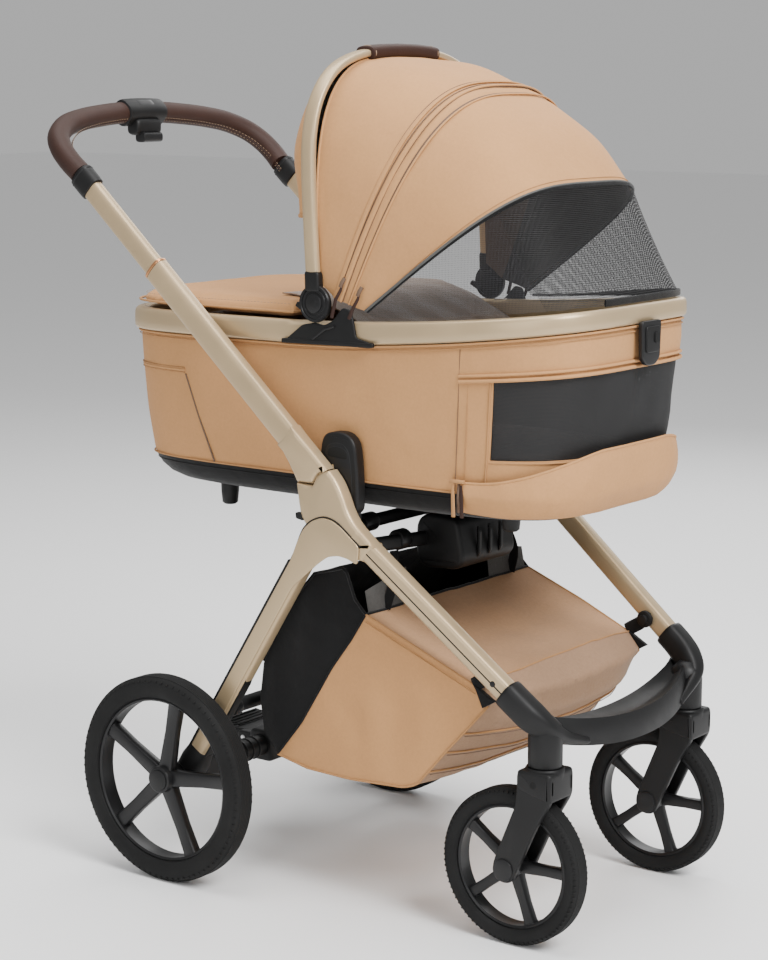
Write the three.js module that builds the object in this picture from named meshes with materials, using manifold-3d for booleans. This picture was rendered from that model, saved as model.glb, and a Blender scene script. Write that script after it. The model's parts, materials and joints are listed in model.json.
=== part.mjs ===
// Pet stroller: a folding four-wheel chassis that carries a lift-off pet bassinet with a hooded top.
// Millimetres. X is across the stroller, -Y is the way it rolls, +Z is up.
// Heights are above the floor. Y is measured from a plane a little ahead of the canopy pivots, and the
// finished group is moved at the end so that its origin lies under the middle of the stroller.
import * as THREE from 'three';
import { mergeVertices } from 'three/addons/utils/BufferGeometryUtils.js';
import Module from 'manifold-3d';

const wasm = await Module();
wasm.setup();

// ---------------------------------------------------------------- driving dimensions
const GAP = 0.3;                       // left between pieces that touch
const SIDES = [['right', -1], ['left', 1]];

const REAR_WHEEL = { radius: 145, tread: 38, x: 263, y: 235 };
const FRONT_WHEEL = { radius: 104, tread: 33, x: 180, y: -287 };
const CASTER_Y = -331;                 // swivel axis of both front wheels

const LAYER_INNER = 211;               // inner face of the side frames
const LAYER_OUTER = 236;               // outer face of hubs and legs
const COVER_OUTER = 239;               // outer face of the rear leg's head plate
const CLEAR_X = 209.5;                 // the bassinet and its fittings stay inside this half width

const FOLD = { y: -30, z: 566, swing: 33 };       // handle hinge in the hub, and the radius it clears
const LEG_PIVOT = { y: -22, z: 508, swing: 38.4 };  // rear leg hinge in the hub
const HANDLE_ANGLE = THREE.MathUtils.degToRad(42);
const REAR_ANGLE = THREE.MathUtils.degToRad(-58);
const HANDLE_FOOT = { y: -13.5, z: 581.5 };       // a point on the handle tubes' centre line
const LOWER_TUBE = { height: 36, width: 23, end: 390 };
const UPPER_TUBE = { height: 30, width: 19, start: 245, end: 572 };

const FRONT_LEG = { height: 28, width: 24, top: [-78, 504.7], foot: [-306, 323.5], xTop: 223.5, xFoot: 202 };
const REAR_LEG = { height: 30, point: [75.4, 389] };
const FOOTREST_THICKNESS = 7;

const TUB = { front: 354, rear: 387, half: 193, floorZ: 578 };
const RIM = { half: 200, height: 31, wall: 14 };
const WALL = 6;                        // thickness of the padded fabric walls
const WINDOW = { rearY: -240, low: 628, high: 727 };

const CANOPY = { y: 18, z: 811 };      // pivot line of the canopy
const BASKET_HALF = 194;

// ---------------------------------------------------------------- materials
const finish = (color, roughness, metalness) => new THREE.MeshStandardMaterial({ color, roughness, metalness });
const champagne = finish(0xb5a68a, 0.42, 0.55);
const blackPlastic = finish(0x222325, 0.55, 0.0);
const rubber = finish(0x1b1b1b, 0.85, 0.0);
const copper = finish(0xa8703f, 0.3, 0.9);
const leather = finish(0x4a322b, 0.6, 0.0);
const tanFabric = finish(0xb8966f, 0.9, 0.0);
const blackFabric = finish(0x161616, 0.9, 0.0);
const meshFabric = finish(0x2a2a2a, 0.9, 0.0);
const taupeFabric = finish(0x6f6055, 0.9, 0.0);

// ---------------------------------------------------------------- helpers: solids
function toSolid(source) {
  const bare = source.clone();
  bare.deleteAttribute('normal');
  bare.deleteAttribute('uv');
  const merged = mergeVertices(bare, 1e-4);
  const vertProperties = new Float32Array(merged.attributes.position.array);
  const triVerts = new Uint32Array(merged.index.array);
  return new wasm.Manifold(new wasm.Mesh({ numProp: 3, vertProperties, triVerts }));
}

function toGeometry(solid) {
  const mesh = solid.getMesh();
  const geometry = new THREE.BufferGeometry();
  geometry.setAttribute('position', new THREE.BufferAttribute(new Float32Array(mesh.vertProperties), 3));
  geometry.setIndex(new THREE.BufferAttribute(new Uint32Array(mesh.triVerts), 1));
  return geometry;
}

const join = (...parts) => parts.reduce((sum, part) => sum.add(part));
const onBothSides = (make) => join(...SIDES.map(([, side]) => make(side)));
const cut = (body, ...tools) => tools.reduce((rest, tool) => rest.subtract(tool), body);

function block(x, y, z) {
  const box = new THREE.BoxGeometry(x[1] - x[0], y[1] - y[0], z[1] - z[0]);
  box.translate((x[0] + x[1]) / 2, (y[0] + y[1]) / 2, (z[0] + z[1]) / 2);
  return toSolid(box);
}

// A shape whose corners are rounded by the given radius.
function roundedShape(points, radius) {
  const shape = new THREE.Shape();
  points.forEach((corner, i) => {
    const here = new THREE.Vector2(...corner);
    const before = new THREE.Vector2(...points[(i + points.length - 1) % points.length]);
    const after = new THREE.Vector2(...points[(i + 1) % points.length]);
    const back = Math.min(radius, here.distanceTo(before) / 2.01);
    const on = Math.min(radius, here.distanceTo(after) / 2.01);
    const enter = before.sub(here).setLength(back).add(here);
    const leave = after.sub(here).setLength(on).add(here);
    if (i === 0) shape.moveTo(enter.x, enter.y);
    else shape.lineTo(enter.x, enter.y);
    shape.quadraticCurveTo(here.x, here.y, leave.x, leave.y);
  });
  shape.closePath();
  return shape;
}

const rectangle = (width, height) => [
  [-width / 2, -height / 2], [width / 2, -height / 2], [width / 2, height / 2], [-width / 2, height / 2]];

// An outline drawn in Y and Z, extruded along X between two planes.
function sidePlate(shape, x0, x1, curveSegments = 4) {
  const low = Math.min(x0, x1);
  const plate = new THREE.ExtrudeGeometry(shape, { depth: Math.abs(x1 - x0), bevelEnabled: false, curveSegments });
  const toSide = new THREE.Matrix4().makeBasis(
    new THREE.Vector3(0, 1, 0), new THREE.Vector3(0, 0, 1), new THREE.Vector3(1, 0, 0));
  plate.applyMatrix4(toSide).translate(low, 0, 0);
  return toSolid(plate);
}

// A straight bar with a rounded section between two points; its width lies as near X as it can.
function bar(from, to, width, height, radius, curveSegments = 2) {
  const start = new THREE.Vector3(...from);
  const along = new THREE.Vector3(...to).sub(start);
  const length = along.length();
  const section = roundedShape(rectangle(width, height), radius);
  const geometry = new THREE.ExtrudeGeometry(section, { depth: length, bevelEnabled: false, curveSegments });
  const z = along.normalize();
  const side = Math.abs(z.x) > 0.9 ? new THREE.Vector3(0, 1, 0) : new THREE.Vector3(1, 0, 0);
  const x = side.addScaledVector(z, -side.dot(z)).normalize();
  const y = new THREE.Vector3().crossVectors(z, x);
  geometry.applyMatrix4(new THREE.Matrix4().makeBasis(x, y, z)).translate(start.x, start.y, start.z);
  return toSolid(geometry);
}

// A round rod between two points.
function rod(from, to, radius, segments = 12, endRadius = radius) {
  const start = new THREE.Vector3(...from);
  const end = new THREE.Vector3(...to);
  const length = start.distanceTo(end);
  const geometry = new THREE.CylinderGeometry(endRadius, radius, length, segments);
  const turn = new THREE.Quaternion().setFromUnitVectors(new THREE.Vector3(0, 1, 0), end.clone().sub(start).normalize());
  geometry.applyQuaternion(turn).translate(...start.add(end).multiplyScalar(0.5).toArray());
  return toSolid(geometry);
}

// A round disc or pin along X, centred on a { y, z } point.
function discX(centre, radius, x0, x1, segments = 16) {
  return rod([x0, centre.y, centre.z], [x1, centre.y, centre.z], radius, segments);
}

function circlePoints(centre, radius, fromDeg, toDeg, steps) {
  const points = [];
  for (let i = 0; i <= steps; i += 1) {
    const a = THREE.MathUtils.degToRad(fromDeg + ((toDeg - fromDeg) * i) / steps);
    points.push([centre.y + radius * Math.cos(a), centre.z + radius * Math.sin(a)]);
  }
  return points;
}

const shapeOf = (points) => new THREE.Shape(points.map((p) => new THREE.Vector2(...p)));

// A profile of [radius, along] points turned about an axis that runs along X at (y, z).
function wheelTurn(profile, x, y, z, segments) {
  const points = profile.map(([r, a]) => new THREE.Vector2(r, a));
  const geometry = new THREE.LatheGeometry(points, segments);
  geometry.rotateZ(-Math.PI / 2).translate(x, y, z);
  return toSolid(geometry);
}

// A section swept along a smooth curve through the given points.
function sweep(points, section, steps) {
  const path = new THREE.CatmullRomCurve3(points.map((p) => new THREE.Vector3(...p)), false, 'centripetal');
  return toSolid(new THREE.ExtrudeGeometry(section, { extrudePath: path, steps, bevelEnabled: false, curveSegments: 3 }));
}

function ellipse(width, height) {
  const shape = new THREE.Shape();
  shape.absellipse(0, 0, width / 2, height / 2, 0, Math.PI * 2, false, 0);
  return shape;
}

// Joins rings of points into a closed body. Rings run counter-clockwise seen from above, from the
// bottom up. An open stack is capped at both ends, a looped one joins its last ring to its first.
function loft(rings, looped = false) {
  const count = rings[0].length;
  const positions = rings.flat().flatMap((p) => p.toArray());
  const index = [];
  const last = looped ? rings.length : rings.length - 1;
  for (let r = 0; r < last; r += 1) {
    const a = r * count;
    const b = ((r + 1) % rings.length) * count;
    for (let i = 0; i < count; i += 1) {
      const j = (i + 1) % count;
      index.push(a + i, a + j, b + j, a + i, b + j, b + i);
    }
  }
  if (!looped) {
    [[0, true], [rings.length - 1, false]].forEach(([r, down]) => {
      const middle = rings[r].reduce((sum, p) => sum.add(p), new THREE.Vector3()).divideScalar(count);
      const hub = positions.length / 3;
      positions.push(...middle.toArray());
      for (let i = 0; i < count; i += 1) {
        const j = (i + 1) % count;
        if (down) index.push(hub, r * count + j, r * count + i);
        else index.push(hub, r * count + i, r * count + j);
      }
    });
  }
  const geometry = new THREE.BufferGeometry();
  geometry.setAttribute('position', new THREE.Float32BufferAttribute(positions, 3));
  geometry.setIndex(index);
  return toSolid(geometry);
}

// A thin closed body made from a grid of points: the grid is its outside, and the same grid moved
// against its normals is its inside. Rows run towards the front, columns from right to left.
function skin(grid, thickness) {
  const rows = grid.length;
  const columns = grid[0].length;
  const at = (r, c) => grid[Math.min(Math.max(r, 0), rows - 1)][Math.min(Math.max(c, 0), columns - 1)];
  const inner = grid.map((row, r) => row.map((point, c) => {
    const down = new THREE.Vector3().subVectors(at(r + 1, c), at(r - 1, c));
    const across = new THREE.Vector3().subVectors(at(r, c + 1), at(r, c - 1));
    return across.cross(down).normalize().multiplyScalar(thickness).add(point);
  }));
  const positions = [...grid.flat(), ...inner.flat()].flatMap((p) => p.toArray());
  const size = rows * columns;
  const index = [];
  const quad = (a, b, c, d) => index.push(a, b, c, a, c, d);
  for (let r = 0; r < rows - 1; r += 1) {
    for (let c = 0; c < columns - 1; c += 1) {
      const a = r * columns + c;
      quad(a, a + columns, a + columns + 1, a + 1);
      quad(size + a, size + a + 1, size + a + columns + 1, size + a + columns);
    }
  }
  const edge = [];
  for (let c = 0; c < columns - 1; c += 1) edge.push(c);
  for (let r = 0; r < rows - 1; r += 1) edge.push(r * columns + columns - 1);
  for (let c = columns - 1; c > 0; c -= 1) edge.push((rows - 1) * columns + c);
  for (let r = rows - 1; r > 0; r -= 1) edge.push(r * columns);
  edge.forEach((a, i) => {
    const b = edge[(i + 1) % edge.length];
    quad(a, b, size + b, size + a);
  });
  const geometry = new THREE.BufferGeometry();
  geometry.setAttribute('position', new THREE.Float32BufferAttribute(positions, 3));
  geometry.setIndex(index);
  return toSolid(geometry);
}

// ---------------------------------------------------------------- the assembly
const frame = new THREE.Group();

function addPart(name, solid, material) {
  const mesh = new THREE.Mesh(toGeometry(solid), material);
  mesh.name = name;
  frame.add(mesh);
}

// ---------------------------------------------------------------- wheels
const WHEEL_STEPS = 24;
const RIM_RATIO = 0.865;               // rim radius over tyre radius

function tyre(wheel, side) {
  const r = wheel.radius;
  const h = wheel.tread / 2;
  const seat = r * RIM_RATIO;
  const profile = [
    [seat, -h * 0.75], [r * 0.95, -h], [r, -h * 0.4], [r, h * 0.4], [r * 0.95, h], [seat, h * 0.75],
    [seat, -h * 0.75]];
  return wheelTurn(profile, side * wheel.x, wheel.y, r, WHEEL_STEPS);
}

// A five-spoke rim. A blind hub is closed by its cap on the outer side.
function rim(wheel, side, boreRadius, hubHalf, blind) {
  const x = side * wheel.x;
  const centre = { y: wheel.y, z: wheel.radius };
  const outer = wheel.radius * RIM_RATIO - GAP;
  const inner = outer - 9;
  const h = wheel.tread * 0.36;
  const ringProfile = [[inner, -h], [outer, -h], [outer, h], [inner, h], [inner, -h]];
  const ring = wheelTurn(ringProfile, x, centre.y, centre.z, WHEEL_STEPS);
  let body = join(ring, discX(centre, 19, x - hubHalf, x + hubHalf, 12));
  for (let spoke = 0; spoke < 5; spoke += 1) {
    const angle = Math.PI / 2 + (spoke * Math.PI * 2) / 5;
    const shape = new THREE.Shape([[8, -11], [inner + 4, -8], [inner + 4, 8], [8, 11]].map(([r, w]) => {
      const point = new THREE.Vector2(r, w).rotateAround(new THREE.Vector2(), angle);
      return point.add(new THREE.Vector2(centre.y, centre.z));
    }));
    body = body.add(sidePlate(shape, x - 8, x + 8));
  }
  const boreEnd = blind ? x + side * (hubHalf - 3) : x + side * 60;
  return cut(body, discX(centre, boreRadius, x - side * 60, boreEnd, 10));
}

for (const [name, side] of SIDES) {
  addPart(`rear_tyre_${name}`, tyre(REAR_WHEEL, side), rubber);
  addPart(`rear_rim_${name}`, rim(REAR_WHEEL, side, 6.5, 19, true), blackPlastic);
  addPart(`front_tyre_${name}`, tyre(FRONT_WHEEL, side), rubber);
  addPart(`front_rim_${name}`, rim(FRONT_WHEEL, side, 5.5, 15, false), blackPlastic);
}

// ---------------------------------------------------------------- front forks and swivels
const SOCKET = { radius: 23, low: 244, top: 290, stem: 9 };

function fork(side) {
  const x = side * FRONT_WHEEL.x;
  const { y, radius: axleZ } = FRONT_WHEEL;
  const collar = rod([x, CASTER_Y, SOCKET.low - 18], [x, CASTER_Y, SOCKET.low - GAP], 21, 12);
  const crown = shapeOf([[-353, 232], [-356, 197], [-340, 201], [-322, 208], [-309, 212], [-309, 232]]);
  let body = join(collar, sidePlate(crown, x - 27, x + 27));
  for (const leg of [-1, 1]) {
    const outline = shapeOf([[-353, 214], [-355, 202], [-349, 160], [y - 16, axleZ + 4], [y - 9, axleZ - 14],
      [y + 9, axleZ - 14], [y + 15, axleZ + 2], [-316, 158], [-309, 214]]);
    body = body.add(sidePlate(outline, x + leg * 18.5, x + leg * 27));
  }
  const stem = rod([x, CASTER_Y, SOCKET.low - 4], [x, CASTER_Y, SOCKET.low + 30], SOCKET.stem, 10);
  const axle = discX({ y, z: axleZ }, 5, x - 28, x + 28, 10);
  return join(body, stem, axle);
}

for (const [name, side] of SIDES) addPart(`caster_fork_${name}`, fork(side), blackPlastic);

// ---------------------------------------------------------------- front legs, footrest
function legPoint(t, side, drop = 0) {
  const { top, foot, xTop, xFoot } = FRONT_LEG;
  const mix = (a, b) => a + (b - a) * t;
  return [side * mix(xTop, xFoot), mix(top[0], foot[0]), mix(top[1], foot[1]) - drop];
}

for (const [name, side] of SIDES) {
  const leg = bar(legPoint(0, side), legPoint(1, side), FRONT_LEG.width, FRONT_LEG.height, 8);
  const hubFace = block([-300, 300], [-78 - GAP, 60], [300, 700]);
  addPart(`front_leg_${name}`, cut(leg, hubFace), champagne);
}

// The crosspiece is a sleeve round the foot of each leg and a socket for each fork, joined by a bowed,
// dished foot plate with a lip along its front.
function crosspiece() {
  const reach = 196;
  const frontY = (x) => -316 - 52 * (1 - (x / reach) ** 2) ** 0.8;
  const rearY = (x) => -301 - 11 * (1 - (x / reach) ** 2);
  const rise = (x) => 26 * Math.abs(x / reach) ** 2.2;
  const columns = 13;
  const dish = [0, 0.5, 1].map((share) => Array.from({ length: columns }, (_, c) => {
    const x = reach * ((2 * c) / (columns - 1) - 1);
    const z = 279 + rise(x) - Math.sin(share * Math.PI) * 9 + share * 6;
    return new THREE.Vector3(x, rearY(x) + (frontY(x) - rearY(x)) * share, z);
  }));
  const lip = [0, 1].map((r) => dish[2].map((p) => new THREE.Vector3(p.x, p.y - 3 - r, p.z + 2 - r * 34)));
  let body = skin(dish, FOOTREST_THICKNESS).add(skin(lip, FOOTREST_THICKNESS));
  for (const [, side] of SIDES) {
    const x = side * FRONT_WHEEL.x;
    const sleeve = bar(legPoint(0.93, side), legPoint(1.12, side), 34, 38, 12);
    const socket = rod([x, CASTER_Y, SOCKET.low], [x, CASTER_Y, SOCKET.top], SOCKET.radius, 14);
    const elbow = bar(legPoint(1.06, side), [side * 168, -334, 284], 34, 36, 12);
    body = body.add(sleeve).add(socket).add(elbow);
  }
  for (const [, side] of SIDES) {
    const x = side * FRONT_WHEEL.x;
    const legEnd = legPoint(1, side).map((v, i) => v + [0, -0.5, -0.4][i]);
    const legHole = bar(legPoint(0.8, side), legEnd, FRONT_LEG.width + 0.8, FRONT_LEG.height + 0.8, 8);
    const under = rod([x, CASTER_Y, SOCKET.low - 60], [x, CASTER_Y, SOCKET.low], 40, 14);
    const stemHole = rod([x, CASTER_Y, SOCKET.low - 1], [x, CASTER_Y, SOCKET.low + 32], SOCKET.stem + 0.8, 10);
    body = body.subtract(legHole).subtract(under).subtract(stemHole);
  }
  return body;
}
addPart('footrest_crosspiece', crosspiece(), blackPlastic);

// ---------------------------------------------------------------- hubs
function hub(side) {
  const outline = shapeOf([
    [26, 577], [-0.5, 576],
    ...circlePoints(FOLD, FOLD.swing - 0.7, 18, 80, 6),
    [-41, 583], [-48, 566], [-56, 545], [-67, 529], [-78, 520.5],
    [-78, 487.5], [-45, 488],
    ...circlePoints(LEG_PIVOT, LEG_PIVOT.swing - 0.7, -33, 22, 6),
    [21, 530], [25, 552]]);
  const body = sidePlate(outline, side * LAYER_INNER, side * LAYER_OUTER);
  const slot = discX(FOLD, FOLD.swing + 0.4, side * 216.4, side * 230.6, 24);
  const foldHole = discX(FOLD, 6.4, side * 232, side * 250, 10);
  const legHole = discX(LEG_PIVOT, 8.4, side * 222, side * 250, 12);
  const handlePin = discX(FOLD, 6, side * 211.5, side * 235.5, 10);
  return join(cut(body, slot, foldHole, legHole), handlePin);
}

for (const [name, side] of SIDES) addPart(`frame_hub_${name}`, hub(side), champagne);

// ---------------------------------------------------------------- rear legs and axle
const AXLE = { y: REAR_WHEEL.y, z: REAR_WHEEL.radius };
function onRearLeg(t, offset = 0) {
  const [y, z] = REAR_LEG.point;
  const c = Math.cos(REAR_ANGLE);
  const s = Math.sin(REAR_ANGLE);
  return [y + c * t - s * offset, z + s * t + c * offset];
}

function rearLeg(side) {
  const x = side * (LAYER_INNER + LAYER_OUTER) / 2;
  const beam = bar([x, ...onRearLeg(-170)], [x, ...onRearLeg(270)], LAYER_OUTER - LAYER_INNER, REAR_LEG.height, 8);
  const clearHub = discX(LEG_PIVOT, LEG_PIVOT.swing, side * 205, side * 245, 32);
  const upper = block([-300, 300], [-200, 300], [524, 800]);
  const head = shapeOf([
    onRearLeg(180, 9.5), onRearLeg(-95, 9.5), [22, 501], [12, 518], [-2, 530], [-20, 536], [-36, 533.5], [-50, 526],
    [-79, 504], [-76.5, 480], [-60, 486.5], [-45, 488.5], [-28, 485], [-12, 474], onRearLeg(-64, -12),
    onRearLeg(180, -12)]);
  const plate = sidePlate(head, side * (LAYER_OUTER + GAP + 0.2), side * COVER_OUTER);
  const web = shapeOf([onRearLeg(176, 8), onRearLeg(-78, 8), onRearLeg(-78, -8), onRearLeg(176, -8)]);
  const webPlate = sidePlate(web, side * (LAYER_OUTER - 4), side * (COVER_OUTER - 0.5));
  const clearWeb = discX(LEG_PIVOT, LEG_PIVOT.swing, side * 205, side * (LAYER_OUTER + GAP), 32);
  const pin = discX(LEG_PIVOT, 8, side * 223, side * (COVER_OUTER - 1), 12);
  const axleHole = discX(AXLE, 16.5, side * 200, side * 260, 14);
  return cut(join(cut(beam, clearHub, upper), plate, cut(webPlate, clearWeb), pin), axleHole);
}

for (const [name, side] of SIDES) addPart(`rear_leg_${name}`, rearLeg(side), champagne);

// The axle beam runs through both legs and carries the stub axle of each rear wheel.
function axleBeam() {
  const beam = discX(AXLE, 16, -240, 240, 14);
  const sleeves = onBothSides((side) => bar([side * 150, AXLE.y, AXLE.z], [side * 210, AXLE.y, AXLE.z], 40, 40, 10));
  const stub = REAR_WHEEL.x + 15;
  return join(beam, sleeves, discX(AXLE, 6, -stub, stub, 10));
}
addPart('rear_axle_beam', axleBeam(), blackPlastic);
const crossAt = onRearLeg(168, -2);
addPart('rear_cross_bar', rod([-210.5, ...crossAt], [210.5, ...crossAt], 10, 12), blackPlastic);

const BRAKE = { y: 268, z: 150, half: 46 };
function brakePedal() {
  const outline = shapeOf([[BRAKE.y - 9, BRAKE.z - 7], [BRAKE.y + 9, BRAKE.z - 9], [BRAKE.y + 62, BRAKE.z + 6],
    [BRAKE.y + 60, BRAKE.z + 13], [BRAKE.y + 6, BRAKE.z + 9], [BRAKE.y - 8, BRAKE.z + 7]]);
  return cut(sidePlate(outline, -BRAKE.half, BRAKE.half), discX(BRAKE, 4.6, -80, 80, 10));
}
addPart('brake_pedal', brakePedal(), blackPlastic);

// A clamp round the axle beam with two ears that hold the pedal's pin.
function brakeHousing() {
  const { y, z, half } = BRAKE;
  const clamp = sidePlate(roundedShape([[212, 168], [212, 122], [254, 122], [254, 168]], 8), -60, 60);
  const ears = onBothSides((side) => block(
    [Math.min(side * 47, side * 58), Math.max(side * 47, side * 58)], [252.5, y + 10], [z - 12, z + 10]));
  const pin = discX(BRAKE, 4, -half - 8, half + 8, 10);
  return join(cut(join(clamp, ears), discX(AXLE, 16.4, -80, 80, 14)), pin);
}
addPart('brake_housing', brakeHousing(), blackPlastic);

// ---------------------------------------------------------------- handle
const along = new THREE.Vector3(0, Math.cos(HANDLE_ANGLE), Math.sin(HANDLE_ANGLE));
const across = new THREE.Vector3(0, -Math.sin(HANDLE_ANGLE), Math.cos(HANDLE_ANGLE));
function onHandle(x, t, offset = 0) {
  const point = new THREE.Vector3(x, HANDLE_FOOT.y, HANDLE_FOOT.z);
  return point.addScaledVector(along, t).addScaledVector(across, offset).toArray();
}

const TUBE_X = 222.5;
const slideHole = (side, from, to, slack = 1.4) => bar(
  onHandle(side * TUBE_X, from), onHandle(side * TUBE_X, to), UPPER_TUBE.width + slack, UPPER_TUBE.height + slack, 7);

// The tube flares onto the hub's seam, and a tongue below it turns in the hub's slot.
function lowerTube(side) {
  const x = side * TUBE_X;
  const tube = bar(onHandle(x, -30), onHandle(x, LOWER_TUBE.end), LOWER_TUBE.width, LOWER_TUBE.height, 9);
  const flareShape = shapeOf([[26, 577.6], [60, 611], [60, 630], [-10, 590], [-8, 577]]);
  const flare = sidePlate(flareShape, side * LAYER_INNER, side * (LAYER_OUTER - 2));
  const seat = shapeOf([[60, 520], [60, 577.3], [0, 576.3], [-90, 575], [-90, 520]]);
  const belowSeam = sidePlate(seat, side * 200, side * 250);
  const swing = discX(FOLD, FOLD.swing, side * 200, side * 250, 32);
  const neckShape = [[-22, 12], [40, 12], [40, -12], [-22, -12]].map(([t, offset]) => onHandle(0, t, offset).slice(1));
  const neck = sidePlate(shapeOf(neckShape), side * 217, side * 230);
  const clearance = block([-300, 300], [-200, -20], [500, 572]);
  const eye = discX(FOLD, 13, side * 217, side * 230, 16);
  const hole = discX(FOLD, 6.4, side * 200, side * 250, 10);
  const body = join(cut(join(tube, flare), swing, belowSeam), cut(neck, clearance), eye);
  return cut(body, slideHole(side, 100, 500), hole);
}

function upperTube(side) {
  return slideHole(side, UPPER_TUBE.start, UPPER_TUBE.end, 0);
}

function tubeRing(side) {
  const x = side * TUBE_X;
  const outer = bar(onHandle(x, LOWER_TUBE.end + GAP), onHandle(x, LOWER_TUBE.end + 5), 24, 37, 9);
  return cut(outer, slideHole(side, 380, 400));
}

const COLLAR = { from: 545, to: 577 };
function gripCollar(side) {
  const outer = bar(onHandle(side * 222, COLLAR.from), onHandle(side * 222, COLLAR.to), 26, 38, 12);
  return cut(outer, slideHole(side, 500, UPPER_TUBE.end + GAP, 0.7));
}

// The handle's bow, from collar to collar in the plane of the handle tubes.
const RELEASE = { half: 41, t: 697 };
function handleBow(thickness) {
  const points = [[221, 579.5], [223.5, 602], [220, 628], [206, 652], [174, 673], [130, 685], [84, 692], [44, 696]];
  const mirrored = [...points].reverse().map(([x, t]) => [-x, t]);
  const path = [...points, [0, RELEASE.t + 0.5], ...mirrored].map(([x, t]) => onHandle(x, t));
  return sweep(path, ellipse(thickness, thickness), 32);
}

// The release unit wraps the middle of the bow, with a pod below it for the button.
function releaseHousing() {
  const { half, t } = RELEASE;
  const wrap = sweep([[-half, t], [0, t + 1], [half, t]].map(([x, at]) => onHandle(x, at)), ellipse(36, 37), 4);
  const body = cut(wrap, handleBow(30.8));
  const pod = cut(bar(onHandle(-25, t - 20, -10), onHandle(25, t - 20, -10), 24, 24, 6), handleBow(30.8));
  const well = bar(onHandle(-20.5, t - 36, -15), onHandle(20.5, t - 36, -15), 26, 20, 3);
  return cut(join(body, pod), well);
}

for (const [name, side] of SIDES) {
  addPart(`lower_handle_tube_${name}`, lowerTube(side), champagne);
  addPart(`upper_handle_tube_${name}`, upperTube(side), champagne);
  addPart(`tube_ring_${name}`, tubeRing(side), copper);
  addPart(`grip_collar_${name}`, gripCollar(side), blackPlastic);
}
addPart('handle_grip', handleBow(30), leather);
addPart('fold_release_housing', releaseHousing(), blackPlastic);
const buttonT = RELEASE.t - 37;
addPart('fold_release_button', bar(onHandle(-20, buttonT, -15), onHandle(20, buttonT, -15), 20, 15, 4), blackPlastic);

// ---------------------------------------------------------------- cross members between the hubs
addPart('hub_cross_tube', rod([-210.5, -14, 514], [210.5, -14, 514], 9, 12), blackPlastic);

// The cover of the fold lock, with a strut to each hub.
function latchCover() {
  const outline = roundedShape([[-124, 462], [-112, 448], [-56, 446], [-44, 462], [-44, 508], [-60, 522], [-112, 518]], 9);
  const struts = onBothSides((side) => bar([side * 60, -58, 486], [side * 209.8, -44, 494], 14, 20, 5));
  return join(sidePlate(outline, -64, 64), struts);
}
addPart('latch_cover', latchCover(), blackPlastic);

// ---------------------------------------------------------------- bassinet adapters on the frame
function adapter(side) {
  const outline = roundedShape([[4, 538], [9, 600], [3, 640], [-18, 646], [-38, 644], [-50, 632], [-54, 590], [-56, 538]], 12);
  const post = sidePlate(outline, side * 191, side * 210, 3);
  return join(post, bar([side * 200, -26, 530], [side * 200, -26, 545], 18, 52, 6));
}
for (const [name, side] of SIDES) addPart(`bassinet_adapter_${name}`, adapter(side), blackPlastic);

// ---------------------------------------------------------------- bassinet
// Plan outline of the tub: a rounded front and a squarer rear.
function tubRing(half, front, rear, height) {
  return Array.from({ length: 36 }, (_, i) => {
    const a = (i * Math.PI) / 18;
    const [c, s] = [Math.cos(a), Math.sin(a)];
    const power = s < 0 ? 2 / 4.2 : 2 / 6;
    const x = half * Math.sign(c) * Math.abs(c) ** power;
    const y = (s < 0 ? front : rear) * Math.sign(s) * Math.abs(s) ** power;
    return new THREE.Vector3(x, y, typeof height === 'function' ? height(y) : height);
  });
}

// The rim dips towards the rear and climbs towards the front.
const rimTop = (y) => 787 + 34 * Math.max(0, (60 - y) / 440) ** 1.6 - 3 * Math.max(0, y / 390);
const rimBottom = (y) => rimTop(y) - RIM.height + 6 * Math.max(0, (-y) / 380);

function rimFrame() {
  const w = RIM.wall;
  return loft([
    tubRing(RIM.half - 3, TUB.front + 4, TUB.rear + 4, (y) => rimBottom(y)),
    tubRing(RIM.half, TUB.front + 7, TUB.rear + 7, (y) => rimBottom(y) + 6),
    tubRing(RIM.half, TUB.front + 7, TUB.rear + 7, (y) => rimTop(y) - 7),
    tubRing(RIM.half - 5, TUB.front + 2, TUB.rear + 2, rimTop),
    tubRing(RIM.half - w, TUB.front + 7 - w, TUB.rear + 7 - w, (y) => rimTop(y) - 3),
    tubRing(RIM.half - w, TUB.front + 7 - w, TUB.rear + 7 - w, (y) => rimBottom(y)),
  ], true);
}

const wallTop = (y) => rimBottom(y) - 1;
const tubSolid = (grow, low, high) => loft([
  tubRing(TUB.half - 8 + grow, TUB.front - 20 + grow, TUB.rear - 18 + grow, low),
  tubRing(TUB.half - 5 + grow, TUB.front - 13 + grow, TUB.rear - 11 + grow, 640),
  tubRing(TUB.half + grow, TUB.front + grow, TUB.rear + grow, high)]);

const windowBox = (slack) => block([-300, 300], [-500, WINDOW.rearY - slack], [WINDOW.low + slack, WINDOW.high - slack]);
const tubWall = (outset, inset) => cut(
  tubSolid(outset, TUB.floorZ, wallTop),
  tubSolid(inset, TUB.floorZ + WALL, (y) => wallTop(y) + 40),
);
addPart('bassinet_shell', cut(tubWall(0, -WALL), windowBox(0)), tanFabric);
addPart('mesh_window', tubWall(-1, -4).intersect(windowBox(GAP)), meshFabric);
addPart('bassinet_rim', rimFrame(), champagne);

// A shallow tray on four feet.
function baseTray() {
  const tray = loft([
    tubRing(150, 296, 312, 546),
    tubRing(170, TUB.front - 38, TUB.rear - 40, 552),
    tubRing(TUB.half - 9, TUB.front - 22, TUB.rear - 20, TUB.floorZ - GAP)]);
  const spots = [[236, 36], [-236, 20]];
  const feet = onBothSides((side) => join(...spots.map(([y, drop]) => rod(
    [side * 120, y, 550], [side * 120, y, 546 - drop], 14, 10, 11))));
  return join(tray, feet);
}
addPart('bassinet_base', baseTray(), blackPlastic);

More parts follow.
